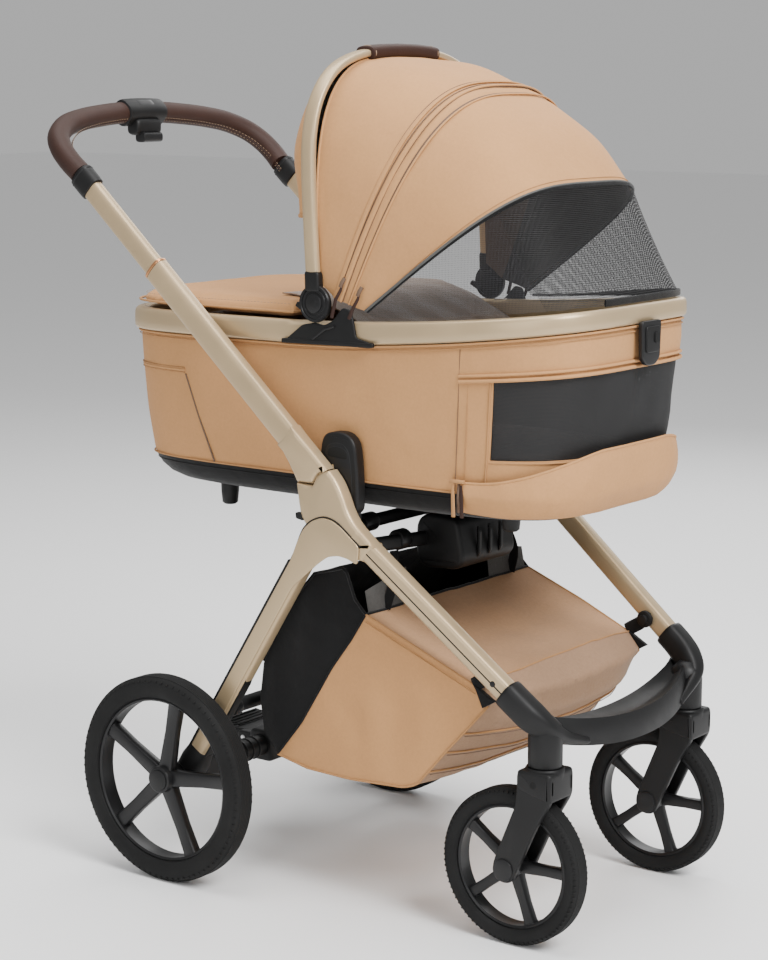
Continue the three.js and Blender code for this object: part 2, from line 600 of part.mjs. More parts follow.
const MATTRESS_LOW = TUB.floorZ + WALL + GAP;
addPart('mattress', loft([
  tubRing(TUB.half - 19, TUB.front - 32, TUB.rear - 30, MATTRESS_LOW),
  tubRing(TUB.half - 17, TUB.front - 30, TUB.rear - 28, MATTRESS_LOW + 24),
  tubRing(TUB.half - 26, TUB.front - 39, TUB.rear - 37, MATTRESS_LOW + 32)]), taupeFabric);

// The window's cover hangs open in a soft roll round the lower front.
function windowFlap() {
  const outer = loft([
    tubRing(TUB.half - 8, TUB.front - 20, TUB.rear, 547),
    tubRing(TUB.half + 4, TUB.front - 6, TUB.rear, 556),
    tubRing(TUB.half + 8, TUB.front - 1, TUB.rear, 590),
    tubRing(TUB.half + 4, TUB.front - 4, TUB.rear, 625)]);
  const inside = loft([
    tubRing(TUB.half - 8.5, TUB.front - 20.5, TUB.rear + 20, 500),
    tubRing(TUB.half - 7.5, TUB.front - 19.5, TUB.rear + 20, TUB.floorZ),
    tubRing(TUB.half - 4.2, TUB.front - 12.2, TUB.rear + 20, 640)]);
  return cut(outer, inside, block([-300, 300], [-200, 500], [400, 700]));
}
addPart('window_flap', windowFlap(), tanFabric);

function apron() {
  const low = (y) => rimTop(y) + 4;
  const slab = loft([
    tubRing(RIM.half - 4, TUB.front, TUB.rear + 3, low),
    tubRing(RIM.half - 1, TUB.front, TUB.rear + 6, (y) => low(y) + 6),
    tubRing(RIM.half - 5, TUB.front, TUB.rear + 1, (y) => low(y) + 15),
    tubRing(RIM.half - 60, TUB.front, TUB.rear - 70, (y) => low(y) + 20)]);
  return slab.intersect(block([-300, 300], [62, 500], [700, 900]));
}
addPart('apron_cover', apron(), tanFabric);

function frontClip() {
  const y = -TUB.front - 7 - GAP;
  const outline = [[y - 9, 742], [y, 742], [y, 794], [y - 5, 797], [y - 10, 788]];
  return cut(sidePlate(shapeOf(outline), -21, 21), rod([0, y - 20, 758], [0, y + 10, 758], 5.5, 10));
}
addPart('front_clip', frontClip(), blackPlastic);

// ---------------------------------------------------------------- canopy
// An arch from one side of the tub to the other, between a foot and a top given as [y, z].
const ARCH_COLUMNS = 15;
function archRow({ foot, top, half, power }, forward = 0) {
  return Array.from({ length: ARCH_COLUMNS }, (_, column) => {
    const a = Math.PI * (1 - column / (ARCH_COLUMNS - 1));
    const [cos, sin] = [Math.cos(a), Math.abs(Math.sin(a))];
    const lift = sin ** (2 / power);
    return new THREE.Vector3(
      half * Math.sign(cos) * Math.abs(cos) ** (2 / power),
      foot[0] + (top[0] - foot[0]) * lift - forward,
      foot[1] + (top[1] - foot[1]) * lift);
  });
}

const arch = (foot, top, half, power) => ({ foot, top, half, power });
const ARCHES = {
  bow: arch([9, 839], [20, 1126], 196, 3.3),
  crown: arch([0, 836], [-50, 1120], 196, 3.1),
  zip: arch([-12, 834], [-125, 1094], 196, 2.9),
  secondZip: arch([-44, 832], [-152, 1082], 196, 3.0),
  brow: arch([-56, 832], [-222, 1032], 195, 3.3),
  visor: arch([-66, 832], [-274, 968], 190, 3.7),
};
addPart('canopy_rear_fabric', skin([ARCHES.bow, ARCHES.crown, ARCHES.zip].map((row) => archRow(row)), 4), tanFabric);
const visorRows = [archRow(ARCHES.zip, 1.2), ...[ARCHES.secondZip, ARCHES.brow, ARCHES.visor].map((row) => archRow(row))];
addPart('canopy_visor_fabric', skin(visorRows, 4), tanFabric);

// The net runs from the visor's edge down to the front of the rim.
function visorNet() {
  const top = archRow(ARCHES.visor, 1.5);
  const rows = [0, 0.35, 0.7, 1].map((share) => top.map((p) => {
    const reach = (1 - Math.abs(p.x / ARCHES.visor.half) ** 4.2) ** (1 / 4.2);
    const footY = -68 - (TUB.front - 72) * reach;
    return p.clone().lerp(new THREE.Vector3(p.x, footY, rimTop(footY) + 4), share);
  }));
  return skin(rows, 3);
}
addPart('visor_net', cut(visorNet(), block([-400, 400], [-66.5, 100], [700, 900])), meshFabric);

// The hood behind the bow is half a dome with an open lower edge.
const HOOD = { y: 42, low: 922, depth: 64 };
function hoodRing(z, inset) {
  const { foot, top, half, power } = ARCHES.bow;
  const height = THREE.MathUtils.clamp((z - foot[1]) / (top[1] - foot[1]), 0, 0.98);
  const climb = THREE.MathUtils.clamp((z - HOOD.low) / (top[1] - HOOD.low), 0, 0.98);
  const halfX = half * (1 - height ** power) ** (1 / power) + 3 - inset;
  const depth = HOOD.depth * (1 - climb ** 2.2) ** (1 / 2.2) + 4 - inset;
  return Array.from({ length: 28 }, (_, i) => {
    const a = (i * Math.PI) / 14;
    const [c, s] = [Math.cos(a), Math.sin(a)];
    return new THREE.Vector3(
      halfX * Math.sign(c) * Math.abs(c) ** 0.8, HOOD.y + depth * Math.sign(s) * Math.abs(s) ** 0.8, z);
  });
}
const hoodDome = (inset) => loft([0, 60, 118, 160, 186, 200].map((rise) => hoodRing(HOOD.low + rise - inset, inset)));
addPart('canopy_hood', cut(hoodDome(0), hoodDome(4), block([-300, 300], [-200, HOOD.y], [800, 1300])), tanFabric);

const BOW_GRIP = 76;
function bowTube(width, height) {
  const path = [[202.5, 22, 838], [202.5, 26, 900], [202, 30, 975], [197, 32, 1032], [178, 33, 1079], [140, 33.5, 1114],
    [80, 34, 1132], [0, 34, 1136]];
  const whole = [...path, ...path.slice(0, -1).reverse().map(([x, y, z]) => [-x, y, z])];
  return sweep(whole, ellipse(width, height), 30);
}
addPart('canopy_bow', bowTube(11, 21), champagne);

function bowGrip() {
  const points = [[-BOW_GRIP, 1132.5], [-40, 1135], [0, 1136], [40, 1135], [BOW_GRIP, 1132.5]];
  const sleeve = sweep(points.map(([x, z]) => [x, 34, z]), ellipse(31, 20), 8);
  return cut(sleeve, bowTube(12, 22));
}
addPart('bow_grip', bowGrip(), leather);

function canopyHinge(side) {
  const [x0, x1] = [side * 201.2, side * 206.5];
  const arm = bar([side * 202.6, 19.5, 820], [side * 202.6, 21.8, 837.4], 11, 24, 4);
  return cut(join(discX(CANOPY, 25, x0, x1, 18), arm), discX(CANOPY, 13.2, side * 190, side * 215));
}

function canopyBracket(side) {
  const [x0, x1] = [side * (RIM.half + GAP), side * 205];
  const plate = shapeOf([[44, 756], [66, 758], [66, 768], [40, 786], [-4, 786], [-34, 810], [-44, 800], [-46, 774],
    [-68, 768], [-70, 759], [-44, 755]]);
  return cut(sidePlate(plate, x0, x1), discX(CANOPY, 25.6, side * 190, side * 215, 18));
}

for (const [name, side] of SIDES) {
  addPart(`canopy_hinge_${name}`, canopyHinge(side), blackPlastic);
  addPart(`hinge_button_${name}`, discX(CANOPY, 12.6, side * 204, side * CLEAR_X), blackPlastic);
  addPart(`canopy_bracket_${name}`, canopyBracket(side), blackPlastic);
}

// ---------------------------------------------------------------- storage basket
const BASKET = [
  [-58, 404], [-239, 336], [-294, 316], [-297, 268], [-212, 221], [-158, 188], [-96, 174], [-29, 173], [56, 178],
  [96, 190], [116, 214], [124, 262], [116, 316], [76, 396], [50, 424]];
const BASKET_INNER = [
  [-56, 396], [-236, 329], [-289, 311], [-292, 271], [-209, 226], [-155, 193], [-95, 179], [-29, 178], [54, 183],
  [92, 194], [111, 216], [119, 262], [111, 314], [71, 393], [60, 470], [-40, 470]];

function basketShell() {
  const outer = sidePlate(shapeOf([...BASKET, [28, 450], [-24, 464], [-40, 420]]), -BASKET_HALF, BASKET_HALF);
  const inner = sidePlate(shapeOf(BASKET_INNER), -BASKET_HALF + 4, BASKET_HALF - 4);
  const corners = onBothSides((side) => {
    const wedge = new THREE.Shape([[side * 194.5, -200], [side * 230, -200], [side * 230, -310], [side * 163, -310]]
      .map((p) => new THREE.Vector2(...p)));
    return toSolid(new THREE.ExtrudeGeometry(wedge, { depth: 400, bevelEnabled: false })).translate([0, 0, 100]);
  });
  return cut(outer, inner, corners);
}

// The tan front and the black rear of the basket meet along a slanting seam.
function basketSplit(grow) {
  const line = [[-110, 480], [-58, 404], [-35, 368], [-2, 324], [50, 240], [92, 188], [110, 150]];
  const back = [[300, 150], [300, 480]];
  return sidePlate(shapeOf([...line.map(([y, z]) => [y + grow, z]), ...back]), -300, 300);
}
const basket = basketShell();
addPart('basket', cut(basket, basketSplit(-GAP / 2)), tanFabric);
addPart('basket_rear_panel', basket.intersect(basketSplit(GAP / 2)), blackFabric);

function basketClip(side) {
  const stud = discX({ y: -258, z: 355 }, 12, side * 186, side * 192.5, 12);
  const strap = bar([side * 185, -258, 350], [side * 185, -258, 340], 5, 14, 1);
  return join(stud, strap, bar([side * 184, -256, 345], [side * 184, -262, 322], 4, 20, 1.5));
}
for (const [name, side] of SIDES) addPart(`basket_clip_${name}`, basketClip(side), blackPlastic);

const box = new THREE.Box3().setFromObject(frame);
frame.position.y = -(box.min.y + box.max.y) / 2;
const stroller = new THREE.Group();
stroller.add(frame);

export default stroller;
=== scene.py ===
"""Pet stroller: the visible pieces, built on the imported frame."""
import json
import math
import bpy
from mathutils.bvhtree import BVHTree
from mathutils import Matrix, Vector, noise


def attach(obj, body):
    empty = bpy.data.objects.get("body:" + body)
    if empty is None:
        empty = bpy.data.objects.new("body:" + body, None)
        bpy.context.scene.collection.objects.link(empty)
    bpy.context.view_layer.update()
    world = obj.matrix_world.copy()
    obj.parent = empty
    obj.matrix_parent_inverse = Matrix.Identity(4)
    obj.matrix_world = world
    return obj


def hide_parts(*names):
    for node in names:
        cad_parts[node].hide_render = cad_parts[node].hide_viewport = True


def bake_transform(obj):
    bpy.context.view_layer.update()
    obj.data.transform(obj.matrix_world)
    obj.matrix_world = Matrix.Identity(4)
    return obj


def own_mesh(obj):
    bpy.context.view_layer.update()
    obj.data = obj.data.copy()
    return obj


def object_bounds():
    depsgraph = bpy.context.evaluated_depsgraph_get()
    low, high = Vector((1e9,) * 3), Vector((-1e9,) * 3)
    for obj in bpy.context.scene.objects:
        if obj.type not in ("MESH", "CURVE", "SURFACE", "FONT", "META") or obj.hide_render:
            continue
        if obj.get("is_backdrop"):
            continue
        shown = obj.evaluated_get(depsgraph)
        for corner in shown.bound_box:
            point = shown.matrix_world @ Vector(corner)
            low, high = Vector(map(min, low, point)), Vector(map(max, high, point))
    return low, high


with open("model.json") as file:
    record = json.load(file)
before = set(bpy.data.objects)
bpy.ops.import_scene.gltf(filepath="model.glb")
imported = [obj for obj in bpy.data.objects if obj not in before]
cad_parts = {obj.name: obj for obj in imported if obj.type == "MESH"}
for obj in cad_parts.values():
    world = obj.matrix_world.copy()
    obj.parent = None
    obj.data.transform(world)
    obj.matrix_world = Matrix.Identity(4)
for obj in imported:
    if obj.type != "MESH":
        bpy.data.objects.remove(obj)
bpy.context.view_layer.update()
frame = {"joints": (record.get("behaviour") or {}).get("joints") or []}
JOINTS = {joint["name"]: joint for joint in frame["joints"]}

# ------------------------------------------------------------------ drawing space
# Shapes are drawn in millimetres. Y counts from a plane 18 mm ahead of the canopy pivot, and row()
# brings a drawn point into the frame, in metres.
MM = 0.001
PIVOT = [value / MM for value in JOINTS["canopy_bow_turn"]["pos_m"]]
PLANE_Y = PIVOT[1] - 18.0
SIDES = {"right": -1, "left": 1}
X_AXIS, Y_AXIS, Z_AXIS = (1, 0, 0), (0, 1, 0), (0, 0, 1)


def row(point):
    """A drawn point as a point of the frame."""
    return Vector((point[0], point[1] + PLANE_Y, point[2])) * MM


def drawn(joint):
    """A joint's place as a drawn point."""
    x, y, z = (value / MM for value in JOINTS[joint]["pos_m"])
    return x, y - PLANE_Y, z


CANOPY = drawn("canopy_bow_turn")
FOLD = drawn("handle_fold")
LEG_PIVOT = drawn("rear_fold")
REAR_HUB = drawn("rear_wheel_spin_left")
FRONT_HUB = drawn("front_wheel_spin_left")
CASTER = drawn("caster_swivel_left")
BRAKE = drawn("brake")


# ------------------------------------------------------------------ geometry: (points, faces) in mm
def lerp(a, b, t):
    return a + (b - a) * t


def smoothstep(low, high, value):
    t = min(max((value - low) / (high - low), 0.0), 1.0)
    return t * t * (3 - 2 * t)


def catmull(before, here, there, after, t):
    """A point of the Catmull-Rom curve from here to there."""
    return 0.5 * (2 * here + (there - before) * t + (2 * before - 5 * here + 4 * there - after) * t * t
                  + (3 * here - before - 3 * there + after) * t ** 3)


def curve_through(points, steps):
    """A smooth line through the points, with this many steps between each pair."""
    points = [Vector(p) for p in points]
    line = []
    for i in range(len(points) - 1):
        before = points[i - 1] if i else points[0] * 2 - points[1]
        after = points[i + 2] if i + 2 < len(points) else points[-1] * 2 - points[-2]
        line += [catmull(before, points[i], points[i + 1], after, step / steps) for step in range(steps)]
    return line + [points[-1]]


def marks_along(line):
    """The distance travelled at each point of a line."""
    marks = [0.0]
    for here, there in zip(line, line[1:]):
        marks.append(marks[-1] + (there - here).length)
    return marks


def even_picks(values, spots, count):
    """The values whose spots are evenly spaced along the line of spots."""
    marks = marks_along(spots)
    chosen, k = [], 0
    for i in range(count):
        want = marks[-1] * i / (count - 1)
        while k < len(marks) - 1 and marks[k] < want:
            k += 1
        chosen.append(values[k])
    return chosen


def mirrored(points):
    """The line and its mirror image across the middle plane, as one line. The last point is on that plane."""
    return list(points) + [(-p[0], p[1], p[2]) for p in reversed(list(points)[:-1])]


def bent(value, power):
    """A power of the value's size, with the value's sign."""
    return math.copysign(abs(value) ** power, value)


def oval(width, height, power=2.0, count=24):
    """A section between an ellipse (power 2) and a rectangle (a high power)."""
    section = []
    for i in range(count):
        a = 2 * math.pi * i / count
        section.append((width / 2 * bent(math.cos(a), 2 / power),
                        height / 2 * bent(math.sin(a), 2 / power)))
    return section


def round_bar(width, count):
    return oval(width, width, count=count)


def rounded(corners, radius, steps=5):
    """A closed outline with its corners rounded."""
    outline = []
    for i, corner in enumerate(corners):
        here = Vector(corner)
        before, after = Vector(corners[i - 1]) - here, Vector(corners[(i + 1) % len(corners)]) - here
        enter = here + before.normalized() * min(radius, before.length / 2.02)
        leave = here + after.normalized() * min(radius, after.length / 2.02)
        for step in range(steps + 1):
            t = step / steps
            outline.append(enter * (1 - t) ** 2 + here * 2 * t * (1 - t) + leave * t * t)
    return outline


def skin(count, rings, looped=False):
    """The faces between closed rings of count points each. Unless looped, both ends are capped."""
    faces = []
    for r in range(rings if looped else rings - 1):
        n = (r + 1) % rings
        for j in range(count):
            k = (j + 1) % count
            faces.append((r * count + j, r * count + k, n * count + k, n * count + j))
    if not looped:
        faces.append(tuple(reversed(range(count))))
        faces.append(tuple(range((rings - 1) * count, rings * count)))
    return faces


END_PLACES, END_SCALES = (0.0, 0.12, 0.4), (0.72, 0.88, 0.97)


def swept(path, section, side, scales=None, round_ends=0.0):
    """A section carried along a path. The section's first direction stays as near side as it can."""
    path = [Vector(p) for p in path]
    scales = list(scales) if scales else [1.0] * len(path)
    if round_ends:
        first, last = (path[1] - path[0]).normalized(), (path[-1] - path[-2]).normalized()
        head = [path[0] + first * round_ends * k for k in END_PLACES]
        tail = [path[-1] - last * round_ends * k for k in reversed(END_PLACES)]
        path = head + path[1:-1] + tail
        scales = ([s * scales[0] for s in END_SCALES] + scales[1:-1]
                  + [s * scales[-1] for s in reversed(END_SCALES)])
    points = []
    for i, here in enumerate(path):
        tangent = (path[min(i + 1, len(path) - 1)] - path[max(i - 1, 0)]).normalized()
        a = Vector(side)
        a = (a - tangent * a.dot(tangent)).normalized()
        b = tangent.cross(a)
        points += [here + (a * u + b * v) * scales[i] for u, v in section]
    return points, skin(len(section), len(path))


def inset(outline, distance):
    """The outline moved inwards. It runs counter-clockwise."""
    count, moved = len(outline), []
    for i, here in enumerate(outline):
        edge = (outline[(i + 1) % count] - outline[i - 1]).normalized()
        moved.append(here + Vector((-edge.y, edge.x)) * distance)
    return moved


def plate(outline, x0, x1, bevel=1.5):
    """A plate between two planes across X, from an outline in Y and Z, with rounded edges."""
    outline = [Vector(p) for p in outline]
    area = sum(a.x * b.y - b.x * a.y for a, b in zip(outline, outline[1:] + outline[:1]))
    if area < 0:
        outline.reverse()
    low, high = sorted((x0, x1))
    turns = [math.pi / 2 * i / 4 for i in range(5)]
    cuts = [(low + bevel * (1 - math.cos(t)), bevel * (1 - math.sin(t))) for t in turns]
    cuts += [(high - bevel * (1 - math.cos(t)), bevel * (1 - math.sin(t))) for t in reversed(turns)]
    points = []
    for x, amount in cuts:
        points += [Vector((x, p.x, p.y)) for p in inset(outline, amount)]
    return points, skin(len(outline), len(cuts))


def turned(profile, centre, steps=48, axis="X"):
    """A profile of (radius, along) turned about a line through the centre along X or Z."""
    points, faces, count = [], [], len(profile)
    for i in range(steps):
        a = 2 * math.pi * i / steps
        c, s = math.cos(a), math.sin(a)
        for radius, along in profile:
            local = (along, radius * c, radius * s) if axis == "X" else (radius * c, radius * s, along)
            points.append(Vector(centre) + Vector(local))
    for i in range(steps):
        n = (i + 1) % steps
        for j in range(count - 1):
            faces.append((i * count + j, i * count + j + 1, n * count + j + 1, n * count + j))
    if profile[0] == profile[-1]:
        return points, faces
    faces.append(tuple(i * count for i in range(steps)))
    faces.append(tuple(i * count + count - 1 for i in reversed(range(steps))))
    return points, faces


def disc(centre, radius, x0, x1, bevel=1.2, steps=40):
    low, high = sorted((x0, x1))
    profile = [(radius - bevel, low), (radius - bevel * 0.3, low + bevel * 0.3), (radius, low + bevel),
               (radius, high - bevel), (radius - bevel * 0.3, high - bevel * 0.3), (radius - bevel, high)]
    return turned(profile, (0, centre[1], centre[2]), steps)


def shell(grid, thickness, keep=None):
    """A sheet with a thickness. The grid is its outer face; keep(row, column) may leave cells out."""
    rows, columns = len(grid), len(grid[0])
    outer = [p for line in grid for p in line]
    normals = []
    for r in range(rows):
        for c in range(columns):
            down = grid[min(r + 1, rows - 1)][c] - grid[max(r - 1, 0)][c]
            across = grid[r][min(c + 1, columns - 1)] - grid[r][max(c - 1, 0)]
            normals.append(across.cross(down).normalized())
    points = outer + [p + n * thickness for p, n in zip(outer, normals)]
    size, faces, border = rows * columns, [], {}
    for r in range(rows - 1):
        for c in range(columns - 1):
            if keep and not keep(r, c):
                continue
            a = r * columns + c
            quad = (a, a + columns, a + columns + 1, a + 1)
            faces.append(quad)
            faces.append(tuple(size + i for i in reversed(quad)))
            for i, j in zip(quad, quad[1:] + quad[:1]):
                if (j, i) in border:
                    del border[(j, i)]
                else:
                    border[(i, j)] = True
    faces += [(j, i, size + i, size + j) for i, j in border]
    return points, faces


def loft(rings, looped=False):
    """A skin through closed rings of equal count, from the bottom up."""
    return [p for ring in rings for p in ring], skin(len(rings[0]), len(rings), looped)


def stitches(path, length=4.0, gap=2.2, thick=0.9, side=Z_AXIS):
    """A row of thread dashes along a path."""
    made, travelled = [], 0.0
    path = [Vector(p) for p in path]
    marks = marks_along(path)

    def at(distance):
        i = next((k for k in range(1, len(marks)) if marks[k] >= distance), len(marks) - 1)
        span = max(marks[i] - marks[i - 1], 1e-6)
        return path[i - 1].lerp(path[i], (distance - marks[i - 1]) / span)

    while travelled + length < marks[-1]:
        line = [at(travelled), at(travelled + length / 2), at(travelled + length)]
        made.append(swept(line, oval(thick, thick, count=6), side, scales=[0.5, 1.0, 0.5]))
        travelled += length + gap
    return merged(*made)


def merged(*parts):
    """Several geometries as one."""
    points, faces = [], []
    for more_points, more_faces in parts:
        base = len(points)
        points += more_points
        faces += [tuple(base + i for i in face) for face in more_faces]
    return points, faces


# ------------------------------------------------------------------ pieces
def piece(name, body, parts, replaces=(), subdivide=0, sharp=35.0):
    """Makes one mesh from parts of (geometry, material), and hangs it on a body."""
    mesh = bpy.data.meshes.new(name)
    points, faces, indices, materials = [], [], [], []
    for (more_points, more_faces), material in parts:
        if material not in materials:
            materials.append(material)
        base = len(points)
        points += [row(p) for p in more_points]
        faces += [tuple(base + i for i in face) for face in more_faces]
        indices += [materials.index(material)] * len(more_faces)
    mesh.from_pydata(points, [], faces)
    for material in materials:
        mesh.materials.append(material)
    mesh.polygons.foreach_set("material_index", indices)
    mesh.shade_smooth()
    mesh.set_sharp_from_angle(angle=math.radians(sharp))
    made = bpy.data.objects.new(name, mesh)
    bpy.context.scene.collection.objects.link(made)
    if subdivide:
        modifier = made.modifiers.new("Smooth", "SUBSURF")
        modifier.levels = modifier.render_levels = subdivide
    if body:
        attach(made, body)
    if replaces:
        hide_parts(*replaces)
    return made


# ------------------------------------------------------------------ materials
def nodes_of(name):
    material = bpy.data.materials.new(name)
    material.use_nodes = True
    tree = material.node_tree
    return material, tree, tree.nodes["Principled BSDF"]


def feed(tree, node, values):
    """Links a socket, or sets a constant, on each named input of a node."""
    for key, value in dict(values).items():
        if isinstance(value, bpy.types.NodeSocket):
            tree.links.new(value, node.inputs[key])
        else:
            node.inputs[key].default_value = value


def add(tree, kind, values=(), **settings):
    node = tree.nodes.new(kind)
    for key, value in settings.items():
        setattr(node, key, value)
    feed(tree, node, values)
    return node


def calc(tree, operation, *values):
    """The result of a sum on one or two values."""
    return add(tree, "ShaderNodeMath", dict(enumerate(values)), operation=operation).outputs[0]


def bumped(tree, height, strength, distance, **inputs):
    values = {"Height": height, "Strength": strength, "Distance": distance, **inputs}
    return add(tree, "ShaderNodeBump", values).outputs[0]


def tinted(tree, factor, dark, light):
    """A colour that runs from dark to light with the factor."""
    mix = add(tree, "ShaderNodeMix", {"Factor": factor}, data_type="RGBA")
    mix.inputs[6].default_value = (*dark, 1)
    mix.inputs[7].default_value = (*light, 1)
    return mix.outputs[2]


def linked_noise(tree, place, scale, detail=3.0, rough=0.6):
    return add(tree, "ShaderNodeTexNoise", {
        "Vector": place, "Scale": scale, "Detail": detail, "Roughness": rough}).outputs["Fac"]


def shade(colour, factor):
    return tuple(min(c * factor, 1.0) for c in colour)


def cloth(name, colour, pitch=0.9, sheen=0.06, contrast=0.05, roughness=0.85, bump=0.35):
    """A plain weave of threads pitch millimetres apart, with slubs, soft creases and a sheen."""
    material, tree, shader = nodes_of(name)
    place = add(tree, "ShaderNodeTexCoord").outputs["Object"]
    split = add(tree, "ShaderNodeSeparateXYZ", {"Vector": place})
    turn = 2 * math.pi / (pitch * MM)
    waves = []
    for pair in ((("X", 1.0), ("Y", 1.0)), (("Z", 1.0), ("Y", 0.35))):
        scaled = [calc(tree, "MULTIPLY", split.outputs[axis], turn * weight) for axis, weight in pair]
        waves.append(calc(tree, "SINE", calc(tree, "ADD", *scaled)))
    weave = calc(tree, "MULTIPLY", *waves)
    slub = linked_noise(tree, place, 240.0, 4.0)
    patch = linked_noise(tree, place, 9.0, 4.0)
    ranged = add(tree, "ShaderNodeMapRange", {
        "Value": calc(tree, "ADD", slub, patch), "From Min": 0.75, "From Max": 1.25}).outputs[0]
    threads = bumped(tree, weave, bump * 0.5, 0.00025)
    crease = linked_noise(tree, place, 26.0, 3.0, 0.5)
    feed(tree, shader, {
        "Base Color": tinted(tree, ranged, shade(colour, 1 - contrast), shade(colour, 1 + contrast)),
        "Normal": bumped(tree, crease, bump, 0.004, Normal=threads), "Roughness": roughness,
        "Sheen Weight": sheen, "Sheen Roughness": 0.4, "Specular IOR Level": 0.2})
    return material


def coated(name, colour, roughness, metallic, grain=900.0, bump=0.05, spread=0.08, coat=0.0):
    """Paint or moulded plastic: a fine grain, and a roughness that wanders a little."""
    material, tree, shader = nodes_of(name)
    place = add(tree, "ShaderNodeTexCoord").outputs["Object"]
    fine = linked_noise(tree, place, grain, 2.0)
    broad = linked_noise(tree, place, 14.0, 4.0)
    rough = add(tree, "ShaderNodeMapRange", {
        "Value": broad, "From Min": 0.3, "From Max": 0.7, "To Min": roughness - spread,
        "To Max": roughness + spread}).outputs[0]
    feed(tree, shader, {
        "Base Color": tinted(tree, broad, shade(colour, 0.94), shade(colour, 1.06)),
        "Normal": bumped(tree, fine, bump, 0.0003), "Roughness": rough, "Metallic": metallic,
        "Coat Weight": coat, "Specular IOR Level": 0.28})
    return material


def hide_leather(name, colour):
    """A grained leatherette: cells for the grain, a soft sheen on the high spots."""
    material, tree, shader = nodes_of(name)
    place = add(tree, "ShaderNodeTexCoord").outputs["Object"]
    cells = add(tree, "ShaderNodeTexVoronoi", {"Vector": place, "Scale": 520.0}).outputs["Distance"]
    broad = linked_noise(tree, place, 40.0, 5.0)
    feed(tree, shader, {
        "Base Color": tinted(tree, broad, shade(colour, 0.75), shade(colour, 1.3)),
        "Normal": bumped(tree, cells, 0.35, 0.0006), "Roughness": 0.6, "Specular IOR Level": 0.25})
    return material


def netting(name, colour, pitch, thread):
    """A knitted net: threads round small holes, the holes left clear."""
    material, tree, shader = nodes_of(name)
    place = add(tree, "ShaderNodeTexCoord").outputs["Object"]
    split = add(tree, "ShaderNodeSeparateXYZ", {"Vector": place})
    flat = calc(tree, "SUBTRACT", split.outputs["X"], split.outputs["Y"])
    waves = []
    for value in (flat, split.outputs["Z"]):
        scaled = calc(tree, "MULTIPLY", value, math.pi / (pitch * MM))
        waves.append(calc(tree, "ABSOLUTE", calc(tree, "SINE", scaled)))
    solid = calc(tree, "LESS_THAN", calc(tree, "MINIMUM", *waves), thread)
    feed(tree, shader, {"Base Color": (*colour, 1), "Roughness": 0.7, "Alpha": solid})
    return material


TAN = (0.485, 0.252, 0.105)
FABRIC = cloth("TanFabric", TAN)
LINING = cloth("GreyLining", (0.16, 0.115, 0.085), sheen=0.15, contrast=0.08)
DARK = cloth("BlackFabric", (0.0045, 0.0045, 0.0048), sheen=0.2, contrast=0.2, bump=0.5)
TAUPE = cloth("TaupePlush", (0.26, 0.18, 0.13), pitch=2.0, sheen=0.6, bump=0.8)
# The lid's tan is darker than the rest of the basket's: painted shade from the bassinet above it.
LID_PAINTED_SHADE = cloth("BasketLidPaintedShade", (0.41, 0.235, 0.125), contrast=0.08, bump=0.6)
BASKET_FRONT = cloth("BasketFront", (0.31, 0.19, 0.115), contrast=0.08, bump=0.6)
PIPING = cloth("TanPiping", shade(TAN, 0.82), pitch=0.7)
ZIP = coated("ZipTape", (0.12, 0.075, 0.05), 0.6, 0.0, grain=1600.0, bump=0.3)
CHAMPAGNE = coated("ChampagnePaint", (0.46, 0.345, 0.205), 0.38, 0.45, bump=0.03, coat=0.1)
BLACK = coated("BlackNylon", (0.0055, 0.0055, 0.0057), 0.5, 0.0, grain=1100.0, bump=0.12)
SATIN = coated("SatinBlack", (0.009, 0.009, 0.0095), 0.36, 0.0, grain=500.0, bump=0.05)
RUBBER = coated("TyreRubber", (0.0055, 0.0055, 0.0055), 0.78, 0.0, grain=700.0, bump=0.2)
COPPER = coated("CopperRing", (0.62, 0.30, 0.14), 0.25, 0.9)
STEEL = coated("Steel", (0.5, 0.5, 0.5), 0.3, 1.0)
LEATHER = hide_leather("BrownLeather", (0.030, 0.013, 0.009))
THREAD = cloth("Thread", (0.30, 0.21, 0.14), pitch=0.5)
NET = netting("BlackNet", (0.012, 0.012, 0.013), 2.3, 0.30)
# Black netting with threads that cover most of it, so the window reads dark: partly the real net, partly
# painted shade of the cabin inside.
WINDOW_NET_AND_SHADE = netting("WindowNetAndShade", (0.005, 0.005, 0.0055), 1.7, 0.86)
THIN_NET = netting("ThinNet", (0.06, 0.06, 0.065), 2.3, 0.10)
GREY = cloth("GreyCanopyLining", (0.060, 0.058, 0.055), sheen=0.2, contrast=0.15, bump=0.6)
BINDING = cloth("GreyBinding", (0.085, 0.085, 0.08), pitch=0.6)


# ------------------------------------------------------------------ camera, light, floor
CAMERA_AT = (-2659.0, -1903.0, 1117.0)
CAMERA_YAW, CAMERA_PITCH, CAMERA_ROLL = math.radians(53.614), math.radians(-9.8195), math.radians(0.17)
LENS = 89.866


def make_camera():
    """The reference view's camera, aimed by its yaw, pitch and roll."""
    forward = Vector((math.cos(CAMERA_PITCH) * math.sin(CAMERA_YAW),
                      math.cos(CAMERA_PITCH) * math.cos(CAMERA_YAW), math.sin(CAMERA_PITCH)))
    right = forward.cross(Vector(Z_AXIS)).normalized()
    up = right.cross(forward)
    turned_right = right * math.cos(CAMERA_ROLL) + up * math.sin(CAMERA_ROLL)
    turned_up = up * math.cos(CAMERA_ROLL) - right * math.sin(CAMERA_ROLL)
    data = bpy.data.cameras.new("Camera")
    data.lens, data.sensor_width = LENS, 36.0
    camera = bpy.data.objects.new("Camera", data)
    bpy.context.scene.collection.objects.link(camera)
    turned = Matrix((turned_right, turned_up, -forward)).transposed().to_4x4()
    camera.matrix_world = Matrix.Translation(row(CAMERA_AT)) @ turned
    bpy.context.scene.camera = camera


